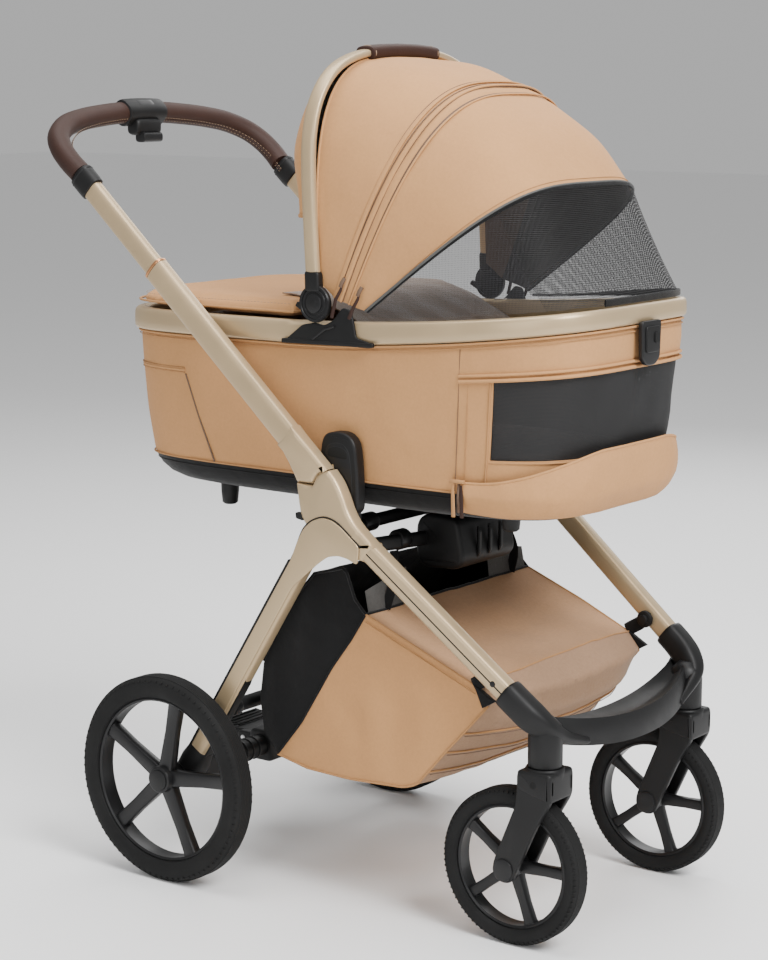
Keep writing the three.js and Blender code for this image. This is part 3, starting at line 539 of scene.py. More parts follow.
def area_light(name, place, target, size, power):
    data = bpy.data.lights.new(name, "AREA")
    data.shape, data.size, data.energy = "DISK", size, power
    light = bpy.data.objects.new(name, data)
    bpy.context.scene.collection.objects.link(light)
    light.location = place
    light.rotation_euler = (Vector(target) - Vector(place)).to_track_quat("-Z", "Y").to_euler()


def make_studio():
    """Four soft lights, a white world and a plain pale floor."""
    middle = (0, 0, 0.55)
    area_light("Key", (-1.0, -3.0, 3.3), middle, 1.8, 225)
    area_light("Front", (-3.4, -0.9, 1.6), middle, 2.4, 32)
    area_light("Left", (3.0, 0.8, 2.2), middle, 2.4, 45)
    area_light("Top", (0, 0.2, 3.4), middle, 3.0, 110)
    world = bpy.data.worlds.new("Studio")
    world.use_nodes = True
    world.node_tree.nodes["Background"].inputs["Color"].default_value = (1, 1, 1, 1)
    world.node_tree.nodes["Background"].inputs["Strength"].default_value = 0.5
    bpy.context.scene.world = world
    bpy.ops.mesh.primitive_plane_add(size=40, location=(0, 0, 0))
    floor = bpy.context.object
    floor.name = "Floor"
    material, _, shader = nodes_of("PaleFloor")
    shader.inputs["Base Color"].default_value = (0.92, 0.92, 0.92, 1)
    shader.inputs["Roughness"].default_value = 0.6
    floor.data.materials.append(material)
    floor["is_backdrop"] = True


make_camera()
make_studio()


# ------------------------------------------------------------------ wheels
def tyre(hub, radius, tread):
    """A round-shouldered tyre with a ribbed tread, and the seat where it meets the rim."""
    seat, h = radius * 0.79, tread / 2
    profile = [(seat, -h * 0.55), (seat + 2, -h * 0.80), (radius * 0.86, -h * 0.99),
               (radius * 0.93, -h * 0.96), (radius * 0.972, -h * 0.80), (radius * 0.99, -h * 0.58)]
    ribs = 7
    for i in range(ribs):
        x = lerp(-h * 0.5, h * 0.5, i / (ribs - 1))
        profile += [(radius - 1.3, x - 1.7), (radius - 0.1, x - 1.1), (radius - 0.1, x + 1.1),
                    (radius - 1.3, x + 1.7)]
    profile += [(r, -x) for r, x in reversed(profile[:6])] + [profile[0]]
    return turned(profile, hub, 96)


def tread_blocks(hub, radius, tread):
    """Short bars across both shoulders of the tread."""
    made, count = [], 84
    for side in (-1, 1):
        for i in range(count):
            a = 2 * math.pi * (i + 0.25 * side) / count
            out = Vector((0, math.cos(a), math.sin(a)))
            x = side * tread * 0.37
            line = [Vector(hub) + out * (radius * f) + Vector((x + side * d, 0, 0))
                    for f, d in ((0.967, -1.5), (0.963, 1.8), (0.951, 3.6))]
            made.append(swept(line, oval(2.2, 2.6, 4, 6), Vector((0, -out.z, out.y))))
    return merged(*made)


def wheel_rim(hub, radius, tread, spoke, hub_radius, hub_half, turn):
    """A deep ring, five spokes and a capped hub."""
    x = hub[0]
    outer, h = radius * 0.80, tread / 2
    ring = [(outer, -h * 0.62), (outer - 3, -h * 0.70), (outer - 5.5, -h * 0.60), (outer - 5, -h * 0.2),
            (outer - 5, h * 0.2), (outer - 5.5, h * 0.60), (outer - 3, h * 0.70), (outer, h * 0.62),
            (outer, -h * 0.62)]
    parts = [turned(ring, hub, 80), disc(hub, hub_radius, x - hub_half, x + hub_half, 2.5)]
    for i in range(5):
        a = math.radians(90 + turn + 72 * i)
        out = Vector((0, math.cos(a), math.sin(a)))
        line = [Vector(hub) + out * r for r in (hub_radius * 0.6, hub_radius * 1.3, outer * 0.6,
                                                outer - 9, outer - 3)]
        parts.append(swept(line, oval(h * 0.85, spoke, 5, 16), X_AXIS,
                           scales=[1.15, 1.05, 0.92, 1.0, 1.15]))
    return merged(*parts)


# Name, hub, tread width, spoke width, hub radius, half the hub's length, turn of the spokes.
WHEELS = [("rear", REAR_HUB, 38, 21, 19, 17, 11), ("front", FRONT_HUB, 33, 15, 15, 14.5, 16)]
for name, side in SIDES.items():
    for end, (x, y, radius), tread, spoke, hub_radius, hub_half, turn in WHEELS:
        hub = (side * x, y, radius)
        piece(f"{end}_tyre_visible_{name}", f"{end}_wheel_{name}",
              [(tyre(hub, radius, tread), RUBBER), (tread_blocks(hub, radius, tread), RUBBER)],
              [f"{end}_tyre_{name}"])
        parts = [(wheel_rim(hub, radius, tread, spoke, hub_radius, hub_half, turn), SATIN)]
        if end == "rear":
            parts.append((disc(hub, 15, side * (x + 17), side * (x + 19), 1.4), BLACK))
        piece(f"{end}_rim_visible_{name}", f"{end}_wheel_{name}", parts,
              [f"{end}_rim_{name}"])


# ------------------------------------------------------------------ front forks
def fork(side):
    """A two-legged fork with its crown, collar, bolt hole and axle."""
    x, y, axle = side * FRONT_HUB[0], FRONT_HUB[1], FRONT_HUB[2]
    stem = CASTER[1]
    cheek = rounded([(stem - 25.5, 240), (stem - 25.5, 205), (y - 47, axle + 62), (y - 18, axle - 2),
                     (y - 12, axle - 15), (y, axle - 18), (y + 13, axle - 14), (y + 17.5, axle),
                     (y + 14, axle + 14), (stem + 27, 194), (stem + 25.5, 214), (stem + 25.5, 240)], 9, 6)
    parts = [(plate(cheek, x + leg * 18, x + leg * 27.5, 2.5), BLACK) for leg in (-1, 1)]
    parts += [(disc((x, y, axle), 15, x + leg * 26.5, x + leg * 29.5, 1.4), SATIN) for leg in (-1, 1)]
    crown = rounded([(stem - 25.5, 241), (stem - 25.5, 202), (stem - 10, 206), (stem + 10, 210),
                     (stem + 25, 215), (stem + 25.5, 241)], 6, 4)
    collar = [(23.5, 226), (25.5, 228), (26, 236), (25.5, 241), (24, 243.2)]
    parts.append((plate(crown, x - 28.4, x + 28.4, 5), BLACK))
    parts.append((turned(collar, (x, stem, 0), 40, "Z"), BLACK))
    # The bolt hole is a dark disc on the crown's side: painted shade of the hole.
    parts.append((disc((x, stem, 224), 4.6, x + side * 27.5, x + side * 28.8, 0.4), RUBBER))
    parts.append((disc((x, y, axle), 5, x - 27, x + 27, 0.5), STEEL))
    return parts



for name, side in SIDES.items():
    piece(f"caster_fork_visible_{name}", f"caster_{name}", fork(side),
          [f"caster_fork_{name}"])


# ------------------------------------------------------------------ front legs and footrest
LEG_X = 223.5
LEG_TOP, LEG_FOOT = (LEG_X, -78.3, 504.7), (202.0, -306.0, 323.5)


def leg_point(t, side, drop=0.0):
    """A point at a share t of the way down the front leg."""
    return Vector((side * lerp(LEG_TOP[0], LEG_FOOT[0], t), lerp(LEG_TOP[1], LEG_FOOT[1], t),
                   lerp(LEG_TOP[2], LEG_FOOT[2], t) - drop))


for name, side in SIDES.items():
    leg = swept([leg_point(t, side) for t in (-0.06, 0.3, 0.6, 0.985)], oval(24.5, 28.5, 3.6, 32), X_AXIS)
    # A black line down the leg: painted shade of the leg's groove.
    groove_shade = swept([leg_point(t, side, 1.0) + Vector((side * 12.0, 0, 0)) for t in (0.01, 0.5, 0.93)],
                   oval(1.0, 2.6, 2, 8), X_AXIS)
    bolt = disc(leg_point(0.86, side), 4.4, side * 214, side * 217.6, 0.8, 20)
    piece(f"front_leg_visible_{name}", "frame", [(leg, CHAMPAGNE), (groove_shade, BLACK), (bolt, BLACK)],
          [f"front_leg_{name}"])

BAR_REACH = 196.0


def foot_bar():
    """The bowed, dished foot plate between the two leg sockets, with a rolled lip and moulded ribs."""
    columns, rows = 49, 15
    grid = []
    for r in range(rows):
        share = r / (rows - 1)
        line = []
        for c in range(columns):
            x = BAR_REACH * (2 * c / (columns - 1) - 1)
            u = abs(x / BAR_REACH)
            rear = -301 - 11 * (1 - u ** 2)
            front = -318 - 54 * (1 - u ** 2) ** 0.8
            top = 281 + 26 * u ** 2.2
            if share < 0.62:
                s = share / 0.62
                ribs = 0.7 * math.sin(s * math.pi * 7) * math.sin(math.pi * s)
                y, z = lerp(rear, front + 5, s), top - 10 * math.sin(math.pi * s) + 7 * s + ribs
            else:
                s = (share - 0.62) / 0.38
                y = front + 5 - 7 * math.sin(math.pi * min(s * 1.1, 1) * 0.55)
                z = top + 7 - 36 * s ** 1.25
            line.append(Vector((x, y, z)))
        grid.append(line)
    return shell(grid, 6)


def leg_socket(side):
    """The sleeve that turns from the leg's slope down into the fork's upright socket."""
    x, y = side * CASTER[0], CASTER[1]
    path = curve_through([leg_point(0.915, side), leg_point(1.0, side), (side * 197, -322, 309),
                          (side * 185, -338, 294), (side * 160, -347, 279), (side * 118, -356, 266)], 5)
    scales = [1.0 - 0.72 * smoothstep(0.35, 1.0, i / (len(path) - 1)) for i in range(len(path))]
    sleeve = swept(path, oval(35, 38, 3.0, 32), X_AXIS, scales, round_ends=4)
    neck = turned([(21.5, 244), (22.3, 246), (22.3, 284), (20, 298), (10, 308)], (x, y, 0), 40, "Z")
    return [(sleeve, BLACK), (neck, BLACK)]


parts = [(foot_bar(), BLACK)]
for side in SIDES.values():
    parts += leg_socket(side)
piece("footrest_crosspiece_visible", "frame", parts, ["footrest_crosspiece"], sharp=50)


# ------------------------------------------------------------------ hubs and rear legs
BAR_END = 210.5
REAR_SLOPE = math.radians(-58)
REAR_POINT = (75.4, 389.0)


def rear_point(t, offset=0.0):
    """A point in Y and Z, t along the rear leg and the offset to its rear."""
    c, s = math.cos(REAR_SLOPE), math.sin(REAR_SLOPE)
    return REAR_POINT[0] + c * t - s * offset, REAR_POINT[1] + s * t + c * offset


def arc(centre, radius, start, end, steps):
    """Points round a joint's centre, in Y and Z."""
    turn = [math.radians(lerp(start, end, i / steps)) for i in range(steps + 1)]
    return [(centre[1] + radius * math.cos(a), centre[2] + radius * math.sin(a)) for a in turn]


INNER, OUTER = 211.0, 236.0
for name, side in SIDES.items():
    front_edge = curve_through([(-26.6, 598, 0), (-39, 584, 0), (-49, 566, 0), (-58, 546, 0),
                                (-70, 530, 0), (-87, 516, 0), (-100, 505, 0)], 3)[1:]
    outline = ([(27, 577), (10, 576)] + arc(FOLD, 32.3, 18, 84, 10) + [(p.x, p.y) for p in front_edge]
               + [(-82, 484), (-45, 488)]
               + arc(LEG_PIVOT, 37.7, -33, 24, 10) + [(20, 532), (24, 552)])
    core = plate(outline, side * INNER, side * OUTER, 6.5)
    # A black plate at the hub's notch: painted shade of the notch.
    notch = plate(rounded([(14, 528), (26, 530), (27, 538), (17, 537)], 2), side * 229, side * 236.6, 0.6)
    piece(f"frame_hub_visible_{name}", "frame", [(core, CHAMPAGNE), (notch, BLACK)],
          [f"frame_hub_{name}"])

    beam = swept([(side * LEG_X, *rear_point(t)) for t in (-118, 0, 150, 266)], oval(25, 30, 3.6, 32),
                 X_AXIS)
    head = ([rear_point(176, 9.5), rear_point(40, 9.5), rear_point(-95, 9.5), (22, 501), (12, 518),
             (-2, 530), (-20, 536), (-36, 533.5), (-50, 526), (-79, 504), (-76.5, 480), (-60, 486.5),
             (-45, 488.5), (-28, 485), (-12, 474), rear_point(-64, -12), rear_point(40, -12),
             rear_point(176, -12)])
    cover = plate(rounded(head, 5, 3), side * 236.4, side * 239.0, 1.1)
    # A black line round the cover plate: painted shade of the gap between the cover and the leg.
    gap_shade_points = [rear_point(176, 10.3), rear_point(40, 10.3), rear_point(-95, 10.3), (21.5, 502),
                   (12.5, 519), (-1.5, 530.8), (-20, 536.8), (-36.5, 534.3), (-50.5, 526.6), (-80, 504)]
    seam = swept(curve_through([(side * 236.6, *p) for p in gap_shade_points], 3), round_bar(1.9, 8), X_AXIS)
    # A black band along the leg's rear edge: painted shade of the groove there.
    rear_groove_shade = plate([rear_point(262, 11.5), rear_point(40, 11.5), rear_point(-90, 11.5),
                  rear_point(-90, 14.3), rear_point(40, 14.3), rear_point(262, 14.3)],
                 side * 232, side * 236.2, 0.5)
    strip = plate([rear_point(258, -16.2), rear_point(110, -16.2), rear_point(100, -13.5),
                   rear_point(258, -12)], side * 217, side * 232, 0.8)
    shoe = swept([(side * LEG_X, *rear_point(t)) for t in (240, 262, 300)], oval(31, 40, 3.4, 28),
                 X_AXIS, scales=[0.86, 1.0, 1.0], round_ends=4)
    pin = disc(LEG_PIVOT, 8, side * 223, side * 238.4, 1)
    piece(f"rear_leg_visible_{name}", "rear_frame",
          [(beam, CHAMPAGNE), (cover, CHAMPAGNE), (seam, BLACK), (rear_groove_shade, BLACK), (strip, BLACK),
           (shoe, BLACK), (pin, CHAMPAGNE)],
          [f"rear_leg_{name}"])

y, z = REAR_HUB[1:]
reach = REAR_HUB[0]
parts = [(disc(REAR_HUB, 15.5, -240, 240, 2), BLACK),
         (disc(REAR_HUB, 6, -reach - 14, reach + 14, 1), STEEL)]
for side in SIDES.values():
    block = rounded([(y - 20, z - 20), (y + 20, z - 20), (y + 20, z + 20), (y - 20, z + 20)], 9, 5)
    parts.append((plate(block, side * 150, side * 210, 3), BLACK))
    parts += [(disc(REAR_HUB, 17, side * k, side * (k + 3), 0.8), BLACK) for k in (76, 90, 104, 118)]
piece("rear_axle_beam_visible", "rear_frame", parts, ["rear_axle_beam"])

cross = rear_point(168, -2)
piece("rear_cross_bar_visible", "rear_frame",
      [(disc((0, *cross), 10, -BAR_END, BAR_END, 2), BLACK)]
      + [(disc((0, *cross), 13, side * 196, side * BAR_END, 2), SATIN) for side in SIDES.values()],
      ["rear_cross_bar"])

by, bz = BRAKE[1:]
pedal = plate(rounded([(by - 9, bz - 7), (by + 9, bz - 9), (by + 40, bz - 3), (by + 62, bz + 6),
                       (by + 60, bz + 13), (by + 30, bz + 8), (by + 6, bz + 9), (by - 8, bz + 7)], 4, 4),
                       -45.5, 45.5, 2.5)
parts = [(pedal, BLACK)]
for k in (24, 33, 42, 51):
    y, z = by + k, bz + 7.2 + k * 0.1
    bar = rounded([(y, z), (y + 4, z + 0.4), (y + 4, z + 2.4), (y, z + 2)], 0.8, 2)
    parts.append((plate(bar, -38, 38, 0.5), RUBBER))
piece("brake_pedal_visible", "brake_lever", parts, ["brake_pedal"])
clamp = plate(rounded([(212, 168), (212, 122), (254, 122), (254, 168)], 10, 6), -60, 60, 4)
ears = [plate(rounded([(250, bz - 12), (by + 10, bz - 12), (by + 10, bz + 10), (250, bz + 10)], 7, 5),
              side * 47, side * 58, 2) for side in SIDES.values()]
piece("brake_housing_visible", "rear_frame",
      [(clamp, BLACK)] + [(ear, BLACK) for ear in ears] + [(disc(BRAKE, 4, -58.5, 58.5, 0.6), STEEL)],
      ["brake_housing"])


# ------------------------------------------------------------------ handle
SLOPE = math.radians(42)
ALONG = Vector((0, math.cos(SLOPE), math.sin(SLOPE)))
ACROSS = Vector((0, -math.sin(SLOPE), math.cos(SLOPE)))
TUBE_X = 222.5
LOWER_END, UPPER_START, UPPER_END, COLLAR_START, COLLAR_END, BOW_T = 390, 245, 572, 545, 577, 697


def on_handle(x, t, offset=0.0):
    """A point t along the handle tubes, lifted off their plane by the offset."""
    return Vector((x, -13.5, 581.5)) + ALONG * t + ACROSS * offset


for name, side in SIDES.items():
    x = side * TUBE_X
    tube = swept([on_handle(x, t) for t in (52, 120, 250, LOWER_END)], oval(23, 36, 3.2, 32), X_AXIS)
    foot = ([(27, 577.7), (32, 586), (41, 601), (51, 615), (61, 625), (37, 651), (26.5, 641.7), (0, 618)]
            + arc(FOLD, 33.6, 75.5, 22, 10) + [(8, 577.7)])
    flare = plate(foot, side * INNER, side * (OUTER - 1.5), 6.0)
    tongue = swept([on_handle(side * LEG_X, t) for t in (-34, -10, 30)], oval(12.5, 22, 4, 16), X_AXIS,
                   round_ends=5)
    piece(f"lower_handle_tube_visible_{name}", "handle_lower",
          [(tube, CHAMPAGNE), (flare, CHAMPAGNE), (tongue, CHAMPAGNE)],
          [f"lower_handle_tube_{name}"])
    ring = swept([on_handle(x, t) for t in (LOWER_END + 0.3, LOWER_END + 2.6, LOWER_END + 5)],
                 oval(24, 37, 3.2, 32), X_AXIS, round_ends=1.2)
    piece(f"tube_ring_visible_{name}", "handle_lower", [(ring, COPPER)],
          [f"tube_ring_{name}"])
    upper = swept([on_handle(x, t) for t in (UPPER_START, 320, 450, UPPER_END)], oval(19, 30, 3.2, 32),
                  X_AXIS)
    piece(f"upper_handle_tube_visible_{name}", "handle_upper", [(upper, CHAMPAGNE)],
          [f"upper_handle_tube_{name}"])
    collar = swept([on_handle(side * 222, t) for t in (COLLAR_START, 553, 568, COLLAR_END)],
                   oval(26, 38, 2.6, 32), X_AXIS, round_ends=3)
    bead = swept([on_handle(side * 222, t) for t in (COLLAR_END - 7, COLLAR_END - 5.5, COLLAR_END - 4)],
                 oval(27, 39, 2.6, 32), X_AXIS, round_ends=1)
    piece(f"grip_collar_visible_{name}", "handle_upper", [(collar, BLACK), (bead, SATIN)],
          [f"grip_collar_{name}"])

BOW_HALF = [(221, 579.5), (223.5, 602), (220, 628), (206, 652), (174, 673), (130, 685), (84, 692),
            (44, 696), (0, BOW_T + 0.5)]


def bow_line(steps, offset=0.0, inward=0.0):
    points = [on_handle(x * (1 - inward / 223.0), t - inward, offset) for x, t in BOW_HALF]
    return curve_through(mirrored(points), steps)


grip = swept(bow_line(6), oval(30, 31, 2.2, 28), ACROSS)
seam = swept(bow_line(5, 0, 15.6), oval(1.6, 1.6, 2, 6), ACROSS)
thread = merged(stitches(bow_line(5, 2.6, 15.3), 3.2, 2.4, 0.9, ACROSS),
                stitches(bow_line(5, -2.6, 15.3), 3.2, 2.4, 0.9, ACROSS))
piece("handle_grip_visible", "handle_upper", [(grip, LEATHER), (seam, LEATHER), (thread, THREAD)],
      ["handle_grip"])

wrap = swept([on_handle(x, BOW_T + 1 - 2.0 * (x / 41.0) ** 2) for x in (-41, -36, -20, 0, 20, 36, 41)],
             oval(36, 36, 2.8, 32), ACROSS, round_ends=3)
pod = swept([on_handle(x, BOW_T - 20, -10) for x in (-26, -20, 0, 20, 26)], oval(24, 25, 3.4, 24), Y_AXIS,
            scales=[0.9, 1, 1, 1, 0.9], round_ends=3)
panel = swept([on_handle(x, BOW_T + 1.5, 15.6) for x in (-17, -10, 0, 10, 17)], oval(15, 5, 3, 20),
              ALONG, round_ends=2)
piece("fold_release_housing_visible", "handle_upper", [(wrap, BLACK), (pod, BLACK), (panel, SATIN)],
      ["fold_release_housing"])
button = swept([on_handle(x, BOW_T - 37, -15) for x in (-20, -14, 0, 14, 20)], oval(20, 15, 3.2, 24),
               Y_AXIS, round_ends=2.5)
piece("fold_release_button_visible", "release_button", [(button, SATIN)],
      ["fold_release_button"])


# ------------------------------------------------------------------ fold lock, adapters
piece("hub_cross_tube_visible", "frame",
      [(disc((0, -14, 514), 9, -BAR_END, BAR_END, 1.5), BLACK)]
      + [(disc((0, -14, 514), 13, side * 120, side * 150, 2), SATIN) for side in SIDES.values()],
      ["hub_cross_tube"])
cover = plate(rounded([(-124, 462), (-112, 448), (-56, 446), (-44, 462), (-44, 508), (-60, 522),
                       (-112, 518)], 12, 6), -64, 64, 6)
ridges = [plate(rounded([(-126.5, 470), (-122, 462), (-122, 506), (-126.5, 498)], 2, 3), k, k + 5, 1)
          for k in (-30, -4, 22)]
struts = [swept([(side * 58, -58, 486), (side * 130, -52, 490), (side * 209.5, -44, 494)],
                oval(14, 20, 3.4, 20), Y_AXIS, round_ends=3) for side in SIDES.values()]
clamps = [disc((0, -50, 491), 14, side * 96, side * 118, 3) for side in SIDES.values()]
parts = [(cover, BLACK)] + [(part, BLACK) for part in struts + ridges] + [(c, SATIN) for c in clamps]
piece("latch_cover_visible", "frame", parts, ["latch_cover"])

for name, side in SIDES.items():
    outline = rounded([(4, 538), (9, 600), (3, 641), (-18, 646.5), (-38, 645), (-51, 632), (-55, 590),
                       (-56, 538)], 15, 7)
    post = plate(outline, side * 191, side * 210, 4)
    face = rounded([(-3, 548), (1, 598), (-4, 628), (-20, 633), (-34, 631), (-43, 620), (-47, 588),
                    (-48, 548)], 11, 6)
    panel = plate(face, side * 206, side * 210.4, 1.6)
    # The slot is a dark rubber plate on the face: painted shade of the slot.
    notch = rounded([(-40, 611), (-6, 613), (-7, 623), (-20, 627), (-33, 625), (-39, 620)], 5, 5)
    slot_shade = plate(notch, side * 209, side * 210.8, 0.5)
    seat = swept([(side * 200, -26, 530), (side * 200, -26, 546)], oval(18, 52, 4, 20), X_AXIS,
                 round_ends=2)
    piece(f"bassinet_adapter_visible_{name}", "frame",
          [(post, BLACK), (panel, SATIN), (slot_shade, RUBBER), (seat, BLACK)],
          [f"bassinet_adapter_{name}"])


# ------------------------------------------------------------------ cabin plan
FRONT_POWER, REAR_POWER = 4.2, 6.0
WALL_SIZES = [(546, 150, 296, 312), (552, 170, 316, 347), (577.7, 184, 332, 367), (640, 188, 341, 376),
              (766, 193, 354, 387)]


def rim_top(y):
    """The rim's upper edge, which climbs towards the front."""
    return 787 + 34 * max(0.0, (60 - y) / 440) ** 1.6 - 3 * max(0.0, y / 390)


def rim_bottom(y):
    return rim_top(y) - 31 + 6 * max(0.0, -y / 380)


def plan(angle, half, front, rear):
    """A point of the cabin's plan. The angle runs from the left side over the rear to the right side."""
    c, s = math.cos(angle), math.sin(angle)
    power, reach = (REAR_POWER, rear) if s > 0 else (FRONT_POWER, front)
    return half * bent(c, 2 / power), reach * bent(s, 2 / power)


def wall_size(z):
    """The plan's half width, front and rear reach at a height."""
    below = max([size for size in WALL_SIZES if size[0] <= z] or WALL_SIZES[:1])
    above = min([size for size in WALL_SIZES if size[0] > z] or WALL_SIZES[-1:])
    share = (z - below[0]) / (above[0] - below[0]) if above != below else 0.0
    return [lerp(a, b, min(max(share, 0.0), 1.0)) for a, b in zip(below[1:], above[1:])]


def on_wall(angle, z, out=0.0):
    half, front, rear = wall_size(z)
    x, y = plan(angle, half + out, front + out, rear + out)
    return Vector((x, y, z))


def wall_share(angle, share, out=0.0):
    """A point on the wall, at a share of the way from the base to the rim."""
    low = 578.0
    y = plan(angle, 193, 354, 387)[1]
    return on_wall(angle, lerp(low, rim_bottom(y) - 1, share), out)


def even_angles(start, end, count, half=190, front=345, rear=380):
    """Angles whose plan points are evenly spaced between two angles."""
    fine = [start + (end - start) * i / 2000 for i in range(2001)]
    return even_picks(fine, [Vector(plan(a, half, front, rear)) for a in fine], count)


def angle_at(y, side):
    """The plan's angle where it crosses this Y on one side."""
    power, reach = (REAR_POWER, 382) if y > 0 else (FRONT_POWER, 347)
    a = math.asin(min(abs(y) / reach, 1.0) ** (power / 2))
    a = a if side > 0 else math.pi - a
    return a if y > 0 else 2 * math.pi - a


def ripple(point, size, amount):
    return amount * noise.noise(Vector(point) / size)


# ------------------------------------------------------------------ cabin walls, window, flap
WINDOW_LOW, WINDOW_HIGH = 0.235, 0.755
WINDOW_Y, SEAM_Y, FLAP_Y = -244.0, -197.0, -203.0


def wall_grid(angles, shares, out, wrinkle=1.6):
    """A part of the cabin wall, puffed and a little creased, from the top down."""
    grid = []
    for share in reversed(shares):
        line = []
        for a in angles:
            base = wall_share(a, share)
            puff = 1.4 * math.sin(math.pi * share) ** 0.5
            crease = ripple((base.x, base.y, base.z * 0.6), 55, wrinkle)
            line.append(wall_share(a, share, out + puff + crease))
        grid.append(line)
    return grid


def span(y_start, y_end, count):
    """Angles from the right side's point at y_start round the front to the left side's point at y_end."""
    return even_angles(angle_at(y_start, -1), angle_at(y_end, 1), count)


def wall_line(angles, share, out, section):
    """A cord that runs round the wall at one height."""
    return swept([wall_share(a, share, out) for a in angles], section, Z_AXIS)


def upright(y, side, low, high, out, section):
    """A cord that climbs the wall at one place."""
    a = angle_at(y, side)
    return swept([wall_share(a, lerp(low, high, i / 12), out) for i in range(13)], section, Y_AXIS)


window_angles = span(WINDOW_Y, WINDOW_Y, 90)
rest_angles = even_angles(angle_at(WINDOW_Y, 1) - 2 * math.pi, angle_at(WINDOW_Y, -1), 150)
ROWS = [0, 0.02, 0.06, 0.12, 0.18, WINDOW_LOW, 0.3, 0.38, 0.46, 0.54, 0.62, 0.7, WINDOW_HIGH, 0.82, 0.88,
        0.94, 1.0]
low_rows = [v for v in ROWS if v <= WINDOW_LOW]
high_rows = [v for v in ROWS if v >= WINDOW_HIGH]
thin = oval(1.0, 0.9, count=6)
cord = round_bar(3.4, 10)
parts = [(shell(wall_grid(rest_angles, ROWS, 0), 2.2), FABRIC),
         (shell(wall_grid(window_angles, low_rows, 0), 2.2), FABRIC),
         (shell(wall_grid(window_angles, high_rows, 0), 2.2), FABRIC),
         (shell(wall_grid(rest_angles, ROWS, -6, 3.0), 1.5), LINING),
         (shell(wall_grid(window_angles, low_rows, -6), 1.5), LINING),
         (shell(wall_grid(window_angles, high_rows, -6), 1.5), LINING)]
front_run = span(SEAM_Y, SEAM_Y, 100)
around = even_angles(0, 2 * math.pi, 260)
for run, share, out, section, material in (
        (front_run, WINDOW_HIGH - 0.005, 3.2, round_bar(5, 10), FABRIC),
        (front_run, WINDOW_HIGH + 0.03, 2.6, oval(4, 4.5, count=10), FABRIC),
        (window_angles, WINDOW_LOW - 0.012, 1.6, round_bar(3, 8), PIPING),
        (around, 0.965, 2.4, round_bar(1.2, 6), PIPING),
        (around, 0.993, 2.6, oval(3, 3.6, count=8), FABRIC),
        (around, 0.008, 1.6, round_bar(2.4, 8), PIPING)):
    parts.append((wall_line(run, share, out, section), material))
for side in SIDES.values():
    parts.append((upright(SEAM_Y, side, 0.02, 0.96, 1.7, thin), ZIP))
    parts.append((upright(WINDOW_Y + 4, side, WINDOW_LOW - 0.2, WINDOW_HIGH, 1.9, round_bar(2.2, 8)),
                  PIPING))
    parts.append((upright(WINDOW_Y + 34, side, 0.04, WINDOW_HIGH, 1.4, round_bar(0.8, 6)), PIPING))

# The rear pocket: a double top edge and a slanting zip on each side.
rear_run = even_angles(angle_at(256, 1), angle_at(256, -1), 90)
for share in (0.70, 0.735):
    parts.append((wall_line(rear_run, share, 2.3, round_bar(1.6, 6)), PIPING))
parts.append((wall_line(rear_run, 0.7175, 1.8, oval(4.6, 2.0, count=8)), FABRIC))
for side in SIDES.values():
    slit = [wall_share(angle_at(lerp(255, 216, i / 14), side), lerp(0.69, 0.015, i / 14),
                       2.0) for i in range(15)]
    parts.append((swept(slit, oval(2.2, 3.0, count=8), Y_AXIS), ZIP))
piece("bassinet_shell_visible", "bassinet", parts, ["bassinet_shell"], sharp=60)

# The dense window net stands partly for painted shade inside the cabin.
window = [[wall_share(a, v, -1.2 + ripple(wall_share(a, v), 45, 2.2)) for a in window_angles]
          for v in (0.78, 0.7, 0.6, 0.5, 0.4, 0.3, 0.215)]
window_piece = piece("mesh_window_visible", "bassinet", [(shell(window, 0.5), WINDOW_NET_AND_SHADE)],
                     ["mesh_window"])


# The flap's upper and lower edge, each at its ends and in its middle.
FLAP_TOP, FLAP_BOTTOM, FLAP_BELLY = (594, 637), (553, 546), 7.5


def flap_grid():
    """The window flap, rolled down: a loose fold that stands off the wall and hangs below its seam."""
    angles = span(FLAP_Y, FLAP_Y, 120)
    grid = []
    for i in range(15):
        s = i / 14
        line = []
        for k, a in enumerate(angles):
            u = k / (len(angles) - 1)
            ends = min(u, 1 - u) * 2
            top = lerp(*FLAP_TOP, smoothstep(0.0, 0.75, ends) ** 1.3)
            bottom = lerp(*FLAP_BOTTOM, smoothstep(0, 0.3, ends))
            z = lerp(top, bottom, s)
            open_lip = 5 + 5 * smoothstep(0.0, 0.25, ends)
            belly = open_lip + FLAP_BELLY * math.sin(math.pi * s) ** 0.8 - 1.5 * s ** 3
            crease = ripple((a * 30, z * 0.35, 3.0), 1.0, 0.5)
            crease += 1.2 * noise.noise(Vector((a * 9, z / 22, 1.0)))
            line.append(on_wall(a, z, belly + crease + (12 - 9 * s) * smoothstep(578, 552, z)))
        grid.append(line)
    return grid


flap = flap_grid()
flap_piece = piece("window_flap_visible", "bassinet", [(shell(flap, 2.0), FABRIC)],
                   ["window_flap"], sharp=60)
parts = [(swept(flap[0], oval(3.6, 3.2, count=10), Z_AXIS), FABRIC),
         (swept([p + Vector((0, 0, -7)) for p in flap[0]], round_bar(1.0, 6), Z_AXIS), PIPING)]
for side, column in ((-1, 0), (1, -1)):
    edge = [line[column] for line in flap]
    parts.append((swept(edge, oval(4.2, 3.4, count=8), Y_AXIS), ZIP))
    top = edge[0]
    tab = [top + Vector(step) for step in ((side * 3, -10, 2), (side * 3.5, 2, 2), (side * 3, 12, 1))]
    parts.append((swept(tab, oval(5, 7, 3, 12), Z_AXIS, round_ends=2), PIPING))
    for dy in (-7, 6):
        steps = ((side * 5.5, dy, -2), (side * 6.5, dy - 1, -16), (side * 6.5, dy - 2, -44))
        pull = [top + Vector(step) for step in steps]
        parts.append((swept(pull, oval(1.8, 5.5, 3, 10), X_AXIS, scales=[0.6, 1, 1.05], round_ends=2),
                      LEATHER if dy < 0 else PIPING))
piece("window_flap_edges", "bassinet", parts, sharp=60)


